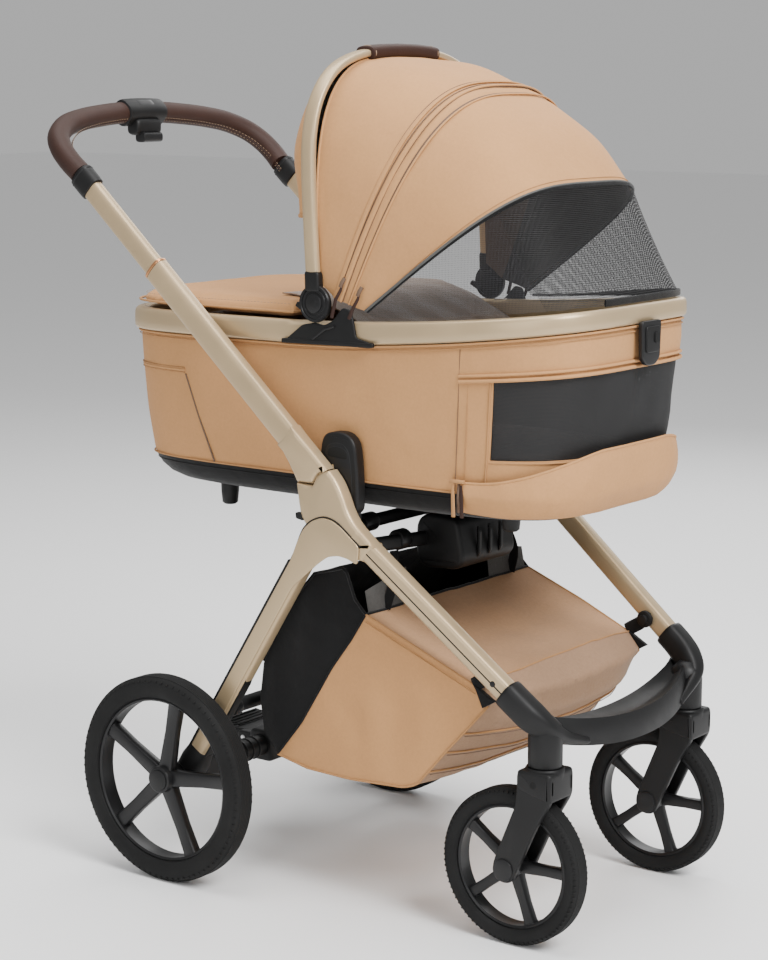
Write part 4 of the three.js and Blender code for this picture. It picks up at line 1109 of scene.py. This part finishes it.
# ------------------------------------------------------------------ base, rim, mattress, apron
def tub_ring(half, front, rear, height, count=160):
    """A ring of the cabin's plan, at a height that is a number or a function of Y."""
    ring = []
    for a in even_angles(0, 2 * math.pi, count + 1)[:-1]:
        x, y = plan(a, half, front, rear)
        ring.append(Vector((x, y, height(y) if callable(height) else height)))
    return ring


base_rings = [(132, 276, 290, 541.5), (150, 296, 312, 542.5), (162, 309, 332, 546), (171, 318, 348, 553),
              (178, 325, 359, 563), (184, 332, 367, 577.6)]
parts = [(loft([tub_ring(*ring) for ring in base_rings]), DARK)]
seam_ring = tub_ring(181.8, 329.4, 364.6, 571)
parts.append((swept(seam_ring + seam_ring[:2], round_bar(1.2, 6), Z_AXIS), BLACK))
for side in SIDES.values():
    for y, low in ((236, 510), (-236, 526)):
        parts.append((turned([(8, low), (11, low + 2.5), (12.5, low + 18), (13.2, 550)],
                             (side * 120, y, 0), 28, "Z"), BLACK))
piece("bassinet_base_visible", "bassinet", parts, ["bassinet_base"], sharp=55)

RIM_SECTION = [(-7.5, 0.02), (2, 0.0), (4.6, 0.04), (6.2, 0.14), (6.5, 0.4), (6.2, 0.72), (5.2, 0.87),
               (3.0, 0.96), (-0.5, 1.0), (-4.5, 0.985), (-7.0, 0.93), (-8.0, 0.82), (-8.0, 0.12)]
rings = []
for out, share in RIM_SECTION:
    rings.append(tub_ring(193.6 + out, 354 + out, 387.6 + out,
                          lambda y, s=share: lerp(rim_bottom(y), rim_top(y), s), 200))
piece("bassinet_rim_visible", "bassinet", [(loft(rings, looped=True), CHAMPAGNE)],
      ["bassinet_rim"], sharp=70)

mattress_rings = [(150, 290, 320, 585.5), (168, 314, 350, 588), (174, 321, 356.5, 596),
                  (174.5, 321.5, 357, 605), (168, 315, 350, 613), (140, 280, 310, 617),
                  (70, 160, 180, 618.5)]
mattress = piece("mattress_visible", "bassinet",
                 [(loft([tub_ring(*ring, 96) for ring in mattress_rings]), TAUPE)],
                 ["mattress"], sharp=80)


bolster = [wall_share(a, 0.93, -15) for a in span(52, 52, 150)]
bumper = piece("bassinet_bumper", "bassinet", [(swept(bolster, oval(17, 44, 2.4, 24), X_AXIS), TAUPE)],
               sharp=80)


def inflated(made, voxel, cap, pressure=4.0):
    """Puffs a closed piece up as cloth under pressure, moving no point further than the cap."""
    scene = bpy.context.scene
    remesh = made.modifiers.new("Even", "REMESH")
    remesh.mode, remesh.voxel_size = "VOXEL", voxel
    fine = bpy.data.meshes.new_from_object(made.evaluated_get(bpy.context.evaluated_depsgraph_get()))
    made.modifiers.remove(remesh)
    made.data = fine
    start = [v.co.copy() for v in fine.vertices]
    cloth_modifier = made.modifiers.new("Cloth", "CLOTH")
    settings = cloth_modifier.settings
    settings.use_pressure, settings.uniform_pressure_force = True, pressure
    settings.quality = 5
    settings.effector_weights.gravity = 0.0
    for number in range(1, 21):
        scene.frame_set(number)
    puffed = bpy.data.meshes.new_from_object(made.evaluated_get(bpy.context.evaluated_depsgraph_get()))
    made.modifiers.remove(cloth_modifier)
    for vertex, was in zip(puffed.vertices, start):
        move = vertex.co - was
        if move.length > cap:
            vertex.co = was + move * (cap / move.length)
    puffed.shade_smooth()
    made.data = puffed
    smooth = made.modifiers.new("Smooth", "SUBSURF")
    smooth.levels = smooth.render_levels = 1
    scene.frame_set(1)


APRON_Y = 64.0


def apron_ring(inset_by, rise, half=191.0, rear=385.0):
    """The apron's plan: the rear of the cabin closed by a straight front edge."""
    half, rear, front = half - inset_by, rear - inset_by, APRON_Y + inset_by
    ring = []
    for i in range(97):
        a = math.pi * i / 96
        c, s = math.cos(a), abs(math.sin(a))
        ring.append((half * bent(c, 1 / 3), front + (rear - front) * s ** (1 / 3)))
    ring += [(lerp(-half, half, i / 24), front) for i in range(1, 24)]
    return [Vector((x, y, rim_top(y) + rise)) for x, y in ring]


apron_rings = [apron_ring(30, 5.5), apron_ring(5, 5.5), apron_ring(1, 8), apron_ring(0, 11),
               apron_ring(3, 15), apron_ring(12, 18.5), apron_ring(34, 20.5), apron_ring(80, 21.5)]
apron = piece("apron_cover_visible", "bassinet", [(loft(apron_rings), FABRIC)],
              ["apron_cover"], sharp=80)
inflated(apron, 0.005, 0.005)
edge = apron_ring(-0.6, 9.5)
hem = [(swept(edge + edge[:2], cord, Z_AXIS), PIPING),
       (stitches(apron_ring(7, 18.8)[:97], 3.4, 2.4, 0.9), THREAD)]
piece("apron_piping", "bassinet", hem)

# The lining is turned back over the front edge of the apron and lies on its upper face.
LINING_GAP = 3.0
apron_tree = BVHTree.FromObject(apron, bpy.context.evaluated_depsgraph_get())


def lining_height(x, y):
    """The lining's own height, or just above the apron where that is higher."""
    free = rim_top(y) + 26.5 - 9 * smoothstep(150, 188, abs(x)) - 62 * smoothstep(80, -95, y)
    hit = apron_tree.ray_cast(row((x, y, 1200)), Vector((0, 0, -1)))[0]
    lying = hit.z / MM + LINING_GAP if hit else free
    return max(free, lying) + ripple((x, y, 9), 42, 1.4 if hit else 3.0)


turn_back = []
for r in range(28):
    y = lerp(118, -77, r / 27)
    columns = [lerp(-148, 186, c / 50) for c in range(51)]
    turn_back.append([Vector((x, y, lining_height(x, y))) for x in columns])
lining_turned = piece("apron_lining", "bassinet", [(shell(turn_back, 1.5), TAUPE)],
                      sharp=70)

clip_face = rounded([(-24, 797), (24, 797), (22, 748), (10, 739), (-10, 739), (-22, 748)], 6, 5)
clip = [(plate(clip_face, 361.5, 369.0, 2), SATIN),
        (plate(rounded([(-17, 790), (17, 790), (16, 756), (-16, 756)], 5), 367.5, 371.5, 1.6), BLACK),
        (plate(rounded([(2, 782), (13, 782), (13, 768), (2, 768)], 3), 370, 373.5, 1.2), RUBBER)]
turned_clip = []
for (points, faces), material in clip:
    turned_clip.append((([Vector((p.y, -p.x, p.z)) for p in points], faces), material))
piece("front_clip_visible", "bassinet", turned_clip, ["front_clip"])


# ------------------------------------------------------------------ canopy
CANOPY_MIDDLE = Vector((0, 10, 830))
# Arches from one side of the cabin to the other: foot (y, z), top (y, z), half width, power.
ARCHES = [((18, 838), (30, 1128.5), 196.5, 3.3), ((4, 828), (-50, 1120), 196, 3.1),
          ((-10, 818), (-125, 1094), 196, 2.9), ((-30, 812), (-152, 1082), 196, 3.0),
          ((-42, 808), (-222, 1032), 195, 3.3), ((-54, 804), (-274, 968), 190, 3.7)]
ZIP_ARCH, DARK_ZIP_ARCH, VISOR_ARCH = 2, 3, 5


def arch_point(arch, a):
    """A point of an arch: its left foot at 0, its crown at a quarter turn."""
    foot, top, half, power = arch
    lift = abs(math.sin(a)) ** (2 / power)
    return Vector((half * bent(math.cos(a), 2 / power), lerp(foot[0], top[0], lift),
                   lerp(foot[1], top[1], lift)))


def arch_angles(count):
    """Angles that space the points of an arch evenly, from the right side to the left."""
    fine = [math.pi * (1 - i / 800) for i in range(801)]
    return even_picks(fine, [arch_point(ARCHES[ZIP_ARCH], a) for a in fine], count)


COLUMNS = arch_angles(121)


def canopy_point(s, a):
    """A point of the canopy's outer face: s counts along the arches, a runs round them."""
    i = min(int(s), len(ARCHES) - 2)
    t = s - i
    here, there = arch_point(ARCHES[i], a), arch_point(ARCHES[i + 1], a)
    before = arch_point(ARCHES[i - 1], a) if i else here * 2 - there
    after = arch_point(ARCHES[i + 2], a) if i + 2 < len(ARCHES) else there * 2 - here
    return catmull(before, here, there, after, t)


def canopy_grid(start, end, rows, wrinkle=1.8):
    """The canopy from one arch to another, creased between them and drawn in at the dark zip."""
    grid = []
    for r in range(rows):
        s = lerp(start, end, r / (rows - 1))
        line = []
        for a in COLUMNS:
            p = canopy_point(s, a)
            out = (p - CANOPY_MIDDLE).normalized()
            free = min(1.0, 4 * (s - start), 4 * (end - s))
            soft = ripple((p.x * 0.6, p.y, p.z), 70, wrinkle)
            soft += ripple((p.x, p.y * 0.4, p.z * 0.3), 28, wrinkle * 0.35)
            seam = 1.8 * math.exp(-((s - DARK_ZIP_ARCH) / 0.07) ** 2)
            line.append(p + out * (soft * max(free, 0.15) - seam))
        grid.append(line)
    return grid


def moved_in(grid, distance):
    """A grid set inwards, by its own normals."""
    points, _ = shell(grid, distance)
    flat, columns = points[len(points) // 2:], len(grid[0])
    return [flat[i:i + columns] for i in range(0, len(flat), columns)]


def canopy_line(s, out, section):
    """A cord or tape that runs round the canopy at one arch."""
    line = []
    for a in COLUMNS:
        p = canopy_point(s, a)
        line.append(p + (p - CANOPY_MIDDLE).normalized() * out)
    return swept(line, section, Y_AXIS)


def cloth_piece(name, body, grid, thickness, material, replaces=()):
    """One sheet of cloth as a piece of its own."""
    made = piece(name, body, [(shell(grid, thickness), material)], replaces, sharp=60)
    return made


REAR_EDGE = 0.0
rear_grid = canopy_grid(REAR_EDGE, ZIP_ARCH, 26)
rear_pieces = [cloth_piece("canopy_rear_visible", "", rear_grid, 1.6, FABRIC,
                           ["canopy_rear_fabric"]),
               cloth_piece("canopy_rear_lining", "", moved_in(rear_grid, 2.4), 0.9, LINING)]
parts = [(canopy_line(REAR_EDGE, 0.0, oval(3.4, 4.2, count=10)), FABRIC),
         (canopy_line(ZIP_ARCH - 0.05, 1.0, oval(7.0, 2.6, 3, 10)), FABRIC),
         (canopy_line(ZIP_ARCH - 0.12, 0.4, thin), ZIP)]
rear_pieces.append(piece("canopy_rear_seams", "", parts, sharp=60))
visor_grid = canopy_grid(ZIP_ARCH, VISOR_ARCH, 46)
inner_grid = moved_in(visor_grid, 3.0)
FOLD_DEPTH, FOLD_WAVES, FOLD_SLANT = 5, 2.4, 0.8
for r, line in enumerate(inner_grid):
    for c, p in enumerate(line):
        u = c / (len(line) - 1)
        wave = math.sin(2 * math.pi * (r / 45 * FOLD_WAVES + FOLD_SLANT * u))
        depth = FOLD_DEPTH * max(0.0, wave) * math.sin(math.pi * u) ** 0.4
        line[c] = p - (p - CANOPY_MIDDLE).normalized() * depth
visor_pieces = [cloth_piece("canopy_visor_visible", "", visor_grid, 1.6, FABRIC,
                            ["canopy_visor_fabric"]),
                cloth_piece("canopy_visor_lining", "", inner_grid, 0.9, GREY)]
parts = [(canopy_line(ZIP_ARCH + 0.10, 0.9, oval(1.6, 1.4, count=6)), ZIP),
         (canopy_line(ZIP_ARCH + 0.33, 1.6, oval(7.5, 3.4, 3, 10)), FABRIC),
         (canopy_line(ZIP_ARCH + 0.55, 0.8, thin), ZIP),
         (canopy_line(DARK_ZIP_ARCH, -0.6, oval(3.2, 2.0, count=8)), ZIP),
         (canopy_line(DARK_ZIP_ARCH + 0.06, 0.8, oval(3.0, 2.4, count=8)), FABRIC),
         (canopy_line(VISOR_ARCH, 0.2, oval(4.4, 6.0, 2.4, 12)), BINDING),
         (canopy_line(VISOR_ARCH - 0.1, 0.6, round_bar(1.0, 6)), PIPING)]
visor_pieces.append(piece("canopy_visor_seams", "", parts, sharp=60))


for made in rear_pieces:
    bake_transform(made)
for made in visor_pieces:
    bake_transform(made)


# The net's foot on the rim: its rear end, its reach to the front and the shape of its plan.
NET_REAR, NET_REACH, NET_POWER = -68, 282, 4.2


def net_grid():
    """The net between the visor's edge and the rim."""
    rows = []
    for share in [i / 16 for i in range(17)]:
        line = []
        for a in COLUMNS:
            top = arch_point(ARCHES[VISOR_ARCH], a) + Vector((0, -1.5, 0))
            reach = (1 - min(abs(top.x / 190), 1.0) ** NET_POWER) ** (1 / NET_POWER)
            foot_y = NET_REAR - NET_REACH * reach
            foot = Vector((top.x * 0.985, foot_y, rim_top(foot_y) + 4))
            sag = math.sin(math.pi * share) * (5 + ripple((top.x, share * 60, 5), 40, 3.0))
            drop = Vector((0, 0, -sag * 0.5))
            line.append(top.lerp(foot, share) + drop + Vector((0, sag * 0.6 * reach, 0)))
        rows.append(line)
    return rows


net = net_grid()
# The columns count from the right side. The first ones get a thinner net, and the hem starts after them.
THIN_COLUMNS, HEM_START = 34, 50
thin_part = [line[:THIN_COLUMNS + 1] for line in net]
other_part = [line[THIN_COLUMNS:] for line in net]
hem = swept([p + Vector((0, 0, 2.5)) for p in net[-1][HEM_START:]], oval(3.0, 9.0, 3, 12), Y_AXIS)
binding = swept([p + Vector((0, -1, -1)) for p in net[0]], oval(3, 5, count=8), Y_AXIS)
net_piece = piece("visor_net_visible", "visor",
                  [(shell(thin_part, 0.5), THIN_NET), (shell(other_part, 0.5), NET)],
                  ["visor_net"], sharp=60)
piece("visor_net_hem", "visor", [(hem, DARK), (binding, DARK)])

# The hood behind the bow: half a dome, open below.
HOOD_Y, HOOD_LOW, HOOD_TOP, HOOD_DEPTH = 42.0, 922.0, 1126.0, 72.0


def hood_point(share, turn):
    """A point of the hood: share climbs to the crown, turn runs from the right round the back."""
    foot, half, power = 839, 196, 3.3
    z = lerp(HOOD_LOW, HOOD_TOP + 3, math.sin(share * math.pi / 2))
    height = min(max((z - foot) / (HOOD_TOP + 4 - foot), 0), 1)
    climb = min(max((z - HOOD_LOW) / (HOOD_TOP + 4 - HOOD_LOW), 0), 1)
    gather = 0.5 + 0.5 * smoothstep(0.0, 0.30, share)
    half_x = half * (1 - height ** power) ** (1 / power) + 3
    depth = (HOOD_DEPTH * (1 - climb ** 2.2) ** (1 / 2.2) + 4) * gather
    c, s = math.cos(turn), math.sin(turn)
    folds = 2.4 * math.sin(turn * 22) * (1 - smoothstep(0.0, 0.35, share))
    spread = depth + folds * s
    return Vector((half_x * bent(c, 0.8), HOOD_Y - 2 + spread * abs(s) ** 0.8, z))


hood_grid = [[hood_point(i / 28, math.pi * (1 - k / 120)) for k in range(121)] for i in range(29)]
cloth_piece("canopy_hood_visible", "bow", hood_grid, 1.6, FABRIC,
            ["canopy_hood"])
cloth_piece("canopy_hood_lining", "bow", moved_in(hood_grid, 2.4), 0.9, GREY)
hood_hem = swept([p + Vector(Z_AXIS) for p in hood_grid[0]], oval(3.6, 5.0, 2.5, 10), Y_AXIS)
piece("canopy_hood_hem", "bow", [(hood_hem, PIPING)], sharp=70)


# ------------------------------------------------------------------ bow, hinges, brackets
BOW_PATH = [(202.5, 22, 838), (202.5, 26, 900), (202, 30, 975), (197, 32, 1032), (178, 33, 1079),
            (140, 33.5, 1114), (80, 34, 1132), (0, 34, 1136)]
bow_path = curve_through(mirrored(BOW_PATH), 5)
piece("canopy_bow_visible", "bow", [(swept(bow_path, oval(21, 11, 3.0, 24), Y_AXIS), CHAMPAGNE)],
      ["canopy_bow"])
grip_path = [(x, 34, 1136 - 3.6 * (x / 76) ** 2) for x in (-76, -70, -55, -35, 0, 35, 55, 70, 76)]
seam_path = [(x, 34, z - 10.4) for x, _, z in grip_path]
parts = [(swept(grip_path, oval(31, 20, 2.8, 32), Y_AXIS, round_ends=3), LEATHER),
         (swept(seam_path, round_bar(1.6, 6), Y_AXIS), LEATHER)]
for x in (-71, 71):
    turns = [2 * math.pi * i / 24 for i in range(25)]
    band = [(x, 34 + 15.5 * math.cos(t), 1133 + 10 * math.sin(t)) for t in turns]
    parts.append((swept(band, round_bar(1.4, 6), X_AXIS), THREAD))
piece("bow_grip_visible", "bow", parts, ["bow_grip"])

def hinge_disc(side, radius, low, high, bevel):
    return disc(CANOPY, radius, side * low, side * high, bevel)


py, pz = CANOPY[1], CANOPY[2]
GUSSET_IN = 200.4
for name, side in SIDES.items():
    arm = plate(rounded([(py - 9, 826), (py + 15, 826), (py + 16, 853), (py - 7, 853)], 5, 4),
                side * 196.4, side * 208.6, 3.0)
    ring = turned([(24.6, 206.2), (23.8, 207.8), (21.4, 207.8), (20.6, 206.4), (19, 206.3),
                   (18.2, 207.4), (16, 207.4), (15.2, 206.2)], (0, py, pz), 48)
    if side < 0:
        ring = ([Vector((-p.x, p.y, p.z)) for p in ring[0]], [tuple(reversed(f)) for f in ring[1]])
    boss = hinge_disc(side, 25, 200.8, 206.6, 1.6)
    button = hinge_disc(side, 12.6, 203.5, 208.8, 1.6)
    dot = hinge_disc(side, 6, 208, 209.4, 0.6)
    piece(f"canopy_hinge_visible_{name}", "bow", [(boss, BLACK), (arm, BLACK), (ring, SATIN)],
          [f"canopy_hinge_{name}"])
    piece(f"hinge_button_visible_{name}", f"hinge_button_{name}", [(button, SATIN), (dot, BLACK)],
          [f"hinge_button_{name}"])
    outline = rounded([(70, 758), (64, 764), (40, 782), (20, 786), (4, 783), (-10, 790), (-26, 808),
                       (-38, 806), (-44, 790), (-48, 770), (-70, 765), (-72, 758)], 4, 4)
    gusset = plate(outline, side * GUSSET_IN, side * 204.6, 1.5)
    foot = rounded([(74, 756), (74, 762), (-76, 765), (-76, 759)], 2, 3)
    flange = plate(foot, side * GUSSET_IN, side * 206.0, 1.2)
    ear = rounded([(26, 792), (52, 806), (48, 812), (30, 806)], 2, 3)
    tab = plate(ear, side * 200.5, side * 204.5, 1)
    rib = swept([(side * 205, 22, 764), (side * 205.3, 2, 778), (side * 205, -14, 783)],
                oval(3, 3.4, count=10), X_AXIS)
    piece(f"canopy_bracket_visible_{name}", "bassinet",
          [(gusset, BLACK), (flange, BLACK), (rib, SATIN), (tab, BLACK)],
          [f"canopy_bracket_{name}"])
    pulls = []
    for y, z, drop in ((-24, 838, 44), (-52, 828, 34)):
        x = side * 201
        tag = [(x, y, z), (x + side * 3, y + 1, z - 8), (x + side * 5.5, y + 7, z - 20),
               (x + side * 6, y + 13, z - drop)]
        slider = [(x - side * 1, y - 3, z + 8), (x + side * 1, y, z + 2), (x + side * 2, y + 2, z - 4)]
        pulls.append((swept(tag, oval(1.8, 5.0, 3, 10), X_AXIS, scales=[0.6, 0.9, 1, 1.1], round_ends=2),
                      LEATHER))
        pulls.append((swept(slider, oval(3.5, 5.5, 3, 12), X_AXIS, round_ends=1.5), ZIP))
    piece(f"zip_pulls_{name}", "bassinet", pulls)


# ------------------------------------------------------------------ storage basket
SEAM_LINE = [(-58, 404), (-35, 368), (-2, 324), (50, 240), (92, 188)]
SIDE_LINE = [(-58, 404), (-150, 368), (-232, 333), (-251, 311), (-222, 278), (-190, 243), (-143, 188),
             (-121, 180), (-31, 175), (40, 177), (92, 188)]
MID_LINE = [(-58, 404), (-150, 370), (-256, 349), (-287, 322), (-284, 286), (-238, 242), (-158, 186),
            (-121, 178), (-31, 173), (40, 175), (92, 188)]
REAR_LINE = [(-58, 404), (-40, 422), (-24, 463), (28, 449), (50, 424), (76, 396), (116, 316), (123, 262),
             (116, 214), (92, 188)]
BASKET_HALF = 194.0
LID_END, NOSE_END = 2, 6


def evenly(line, count):
    """The same line with evenly spaced points."""
    line = [Vector(p) for p in line]
    marks = marks_along(line)
    spaced, k = [], 1
    for i in range(count):
        want = marks[-1] * i / (count - 1)
        while k < len(line) - 1 and marks[k] < want:
            k += 1
        share = (want - marks[k - 1]) / max(marks[k] - marks[k - 1], 1e-6)
        spaced.append(line[k - 1].lerp(line[k], share))
    return spaced


def basket_half(y):
    """The basket's half width: it narrows a little towards the front."""
    return BASKET_HALF - max(0.0, -150 - y) * 0.05


def side_line(side, line, out, count, drop=0):
    """A line of the basket's side, set out from the panel and down by the drop."""
    return [(side * (basket_half(p.x) + out), p.x, p.y - drop) for p in evenly(line, count)]


def side_panel(edge_a, edge_b, side, puff):
    """A side of the basket between two lines that share their ends, from the top down."""
    rows, columns = 45, 29
    a, b = evenly(edge_a, rows), evenly(edge_b, rows)
    grid = []
    for r in range(rows):
        line = []
        for c in range(columns):
            u = c / (columns - 1)
            p = a[r].lerp(b[r], u)
            bulge = puff * math.sin(math.pi * u) * math.sin(math.pi * r / (rows - 1))
            soft = ripple((p.x, p.y * 0.5, side), 46, 4.2) + ripple((p.x * 0.4, p.y, side), 22, 1.3)
            line.append(Vector((side * (basket_half(p.x) + bulge + soft * math.sin(math.pi * u) ** 0.5),
                                p.x, p.y)))
        grid.append(line if side * (a[22].x - b[22].x) < 0 else line[::-1])
    return grid


def across(middle, edge, sag, wrinkle=2.0, rows=30):
    """A panel of the basket from side to side, between the line in the middle and the line at the sides."""
    middle, edge = evenly(middle, rows), evenly(edge, rows)
    grid = []
    for r in range(rows):
        share = r / (rows - 1)
        band = []
        for c in range(61):
            u = 2 * c / 60 - 1
            p = middle[r].lerp(edge[r], abs(u) ** 2.6)
            dip = sag * (1 - u * u) * math.sin(math.pi * share)
            soft = ripple((u * 180, p.x, p.y), 60, wrinkle)
            soft += ripple((u * 180, p.x * 0.4, p.y), 24, wrinkle * 0.4)
            band.append(Vector((u * basket_half(p.x), p.x, p.y - dip + soft * (1 - u ** 4))))
        grid.append(band)
    return grid


def ridge(band, section, lift=(0, 0, 0)):
    return swept([p + Vector(lift) for p in band], section, Y_AXIS)


lid = across(MID_LINE[:LID_END + 1], SIDE_LINE[:LID_END + 1], 12)
nose = across(MID_LINE[LID_END:NOSE_END + 1], SIDE_LINE[LID_END:NOSE_END + 1], 0, 3.0)
under = across(MID_LINE[NOSE_END:], SIDE_LINE[NOSE_END:], 5, 3.2)
back = across(REAR_LINE[:2:-1], REAR_LINE[:2:-1], 0, 3.0)
# The lid takes the darker tan, which is painted shade from the bassinet above.
parts = [(shell(lid, 1.6), LID_PAINTED_SHADE), (shell(nose, 1.6), BASKET_FRONT), (shell(under, 1.6), FABRIC)]
rear_parts = [(shell(back, 1.8), DARK)]
for side in SIDES.values():
    panel = side_panel(SEAM_LINE, SIDE_LINE, side, 3.0)
    parts.append((shell(panel, 1.6), FABRIC))
    rear_side = side_panel(SEAM_LINE, REAR_LINE, side, 4.0)
    rear_parts.append((shell(rear_side, 1.8), DARK))
    edge = side_line(side, SIDE_LINE, 0.6, 60)
    joint_line = side_line(side, SEAM_LINE, 1.0, 24)
    rim_edge = side_line(side, REAR_LINE[:7], 0.5, 24)
    flap_line = side_line(side, SIDE_LINE[:3], 3.2, 20, 9)
    parts.append((swept(edge, round_bar(3.2, 8), X_AXIS), PIPING))
    rear_parts.append((swept(joint_line, round_bar(2.6, 8), X_AXIS), DARK))
    rear_parts.append((swept(rim_edge, round_bar(4, 8), X_AXIS), DARK))
    parts.append((swept(flap_line, round_bar(1.4, 6), X_AXIS), PIPING))
    corner = basket_half(-240)
    triangle = [(-230, 336), (-262, 318), (-243, 307)]
    parts.append((plate(triangle, side * (corner - 2), side * (corner + 4.5), 1), DARK))
parts.append((ridge(nose[0], round_bar(2.4, 8), (0, 0, 0.6)), PIPING))
for k in (13, 19, 25):
    parts.append((ridge(nose[k], oval(3.4, 2.6, count=8), (0, -1.0, -0.5)), PIPING))
    parts.append((ridge(nose[k], round_bar(1.2, 6), (0, -1.6, -3.6)), ZIP))
parts.append((ridge(lid[0], round_bar(4.5, 8)), DARK))
basket = piece("basket_visible", "frame", parts, ["basket"], sharp=55)
basket_rear = piece("basket_rear_visible", "frame", rear_parts, ["basket_rear_panel"],
                    sharp=55)
for made in (basket, basket_rear):
    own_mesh(made)

for name, side in SIDES.items():
    y, z = -258, 355
    stud = disc((0, y, z), 12, side * 186, side * 192.5, 2)
    boss = disc((0, y, z), 6.5, side * 183, side * 187, 1)
    strap = [(side * 189, y, 354), (side * 190, y + 10, 347), (side * 191, y + 22, 340),
             (side * 191, y + 30, 335)]
    strap = swept(strap, oval(3.5, 19, 3, 16), X_AXIS, round_ends=2)
    piece(f"basket_clip_visible_{name}", "frame", [(stud, BLACK), (boss, SATIN), (strap, DARK)],
          [f"basket_clip_{name}"])
    # The basket hangs from webbing that runs up to the fold lock's struts.
    web = curve_through([(side * 150, -58, 405), (side * 146, -66, 440), (side * 132, -58, 480)], 6)
    columns = range(9) if side > 0 else range(8, -1, -1)
    gauze = [[Vector((side * lerp(96, 188, u / 8), lerp(-58, -52, v / 8),
                      lerp(404, 452 - 18 * u / 8, v / 8))) for u in columns] for v in range(8, -1, -1)]
    piece(f"basket_webbing_{name}", "frame",
          [(swept(web, oval(2, 15, 3, 12), X_AXIS), DARK), (shell(gauze, 0.6), GREY)])


low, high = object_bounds()
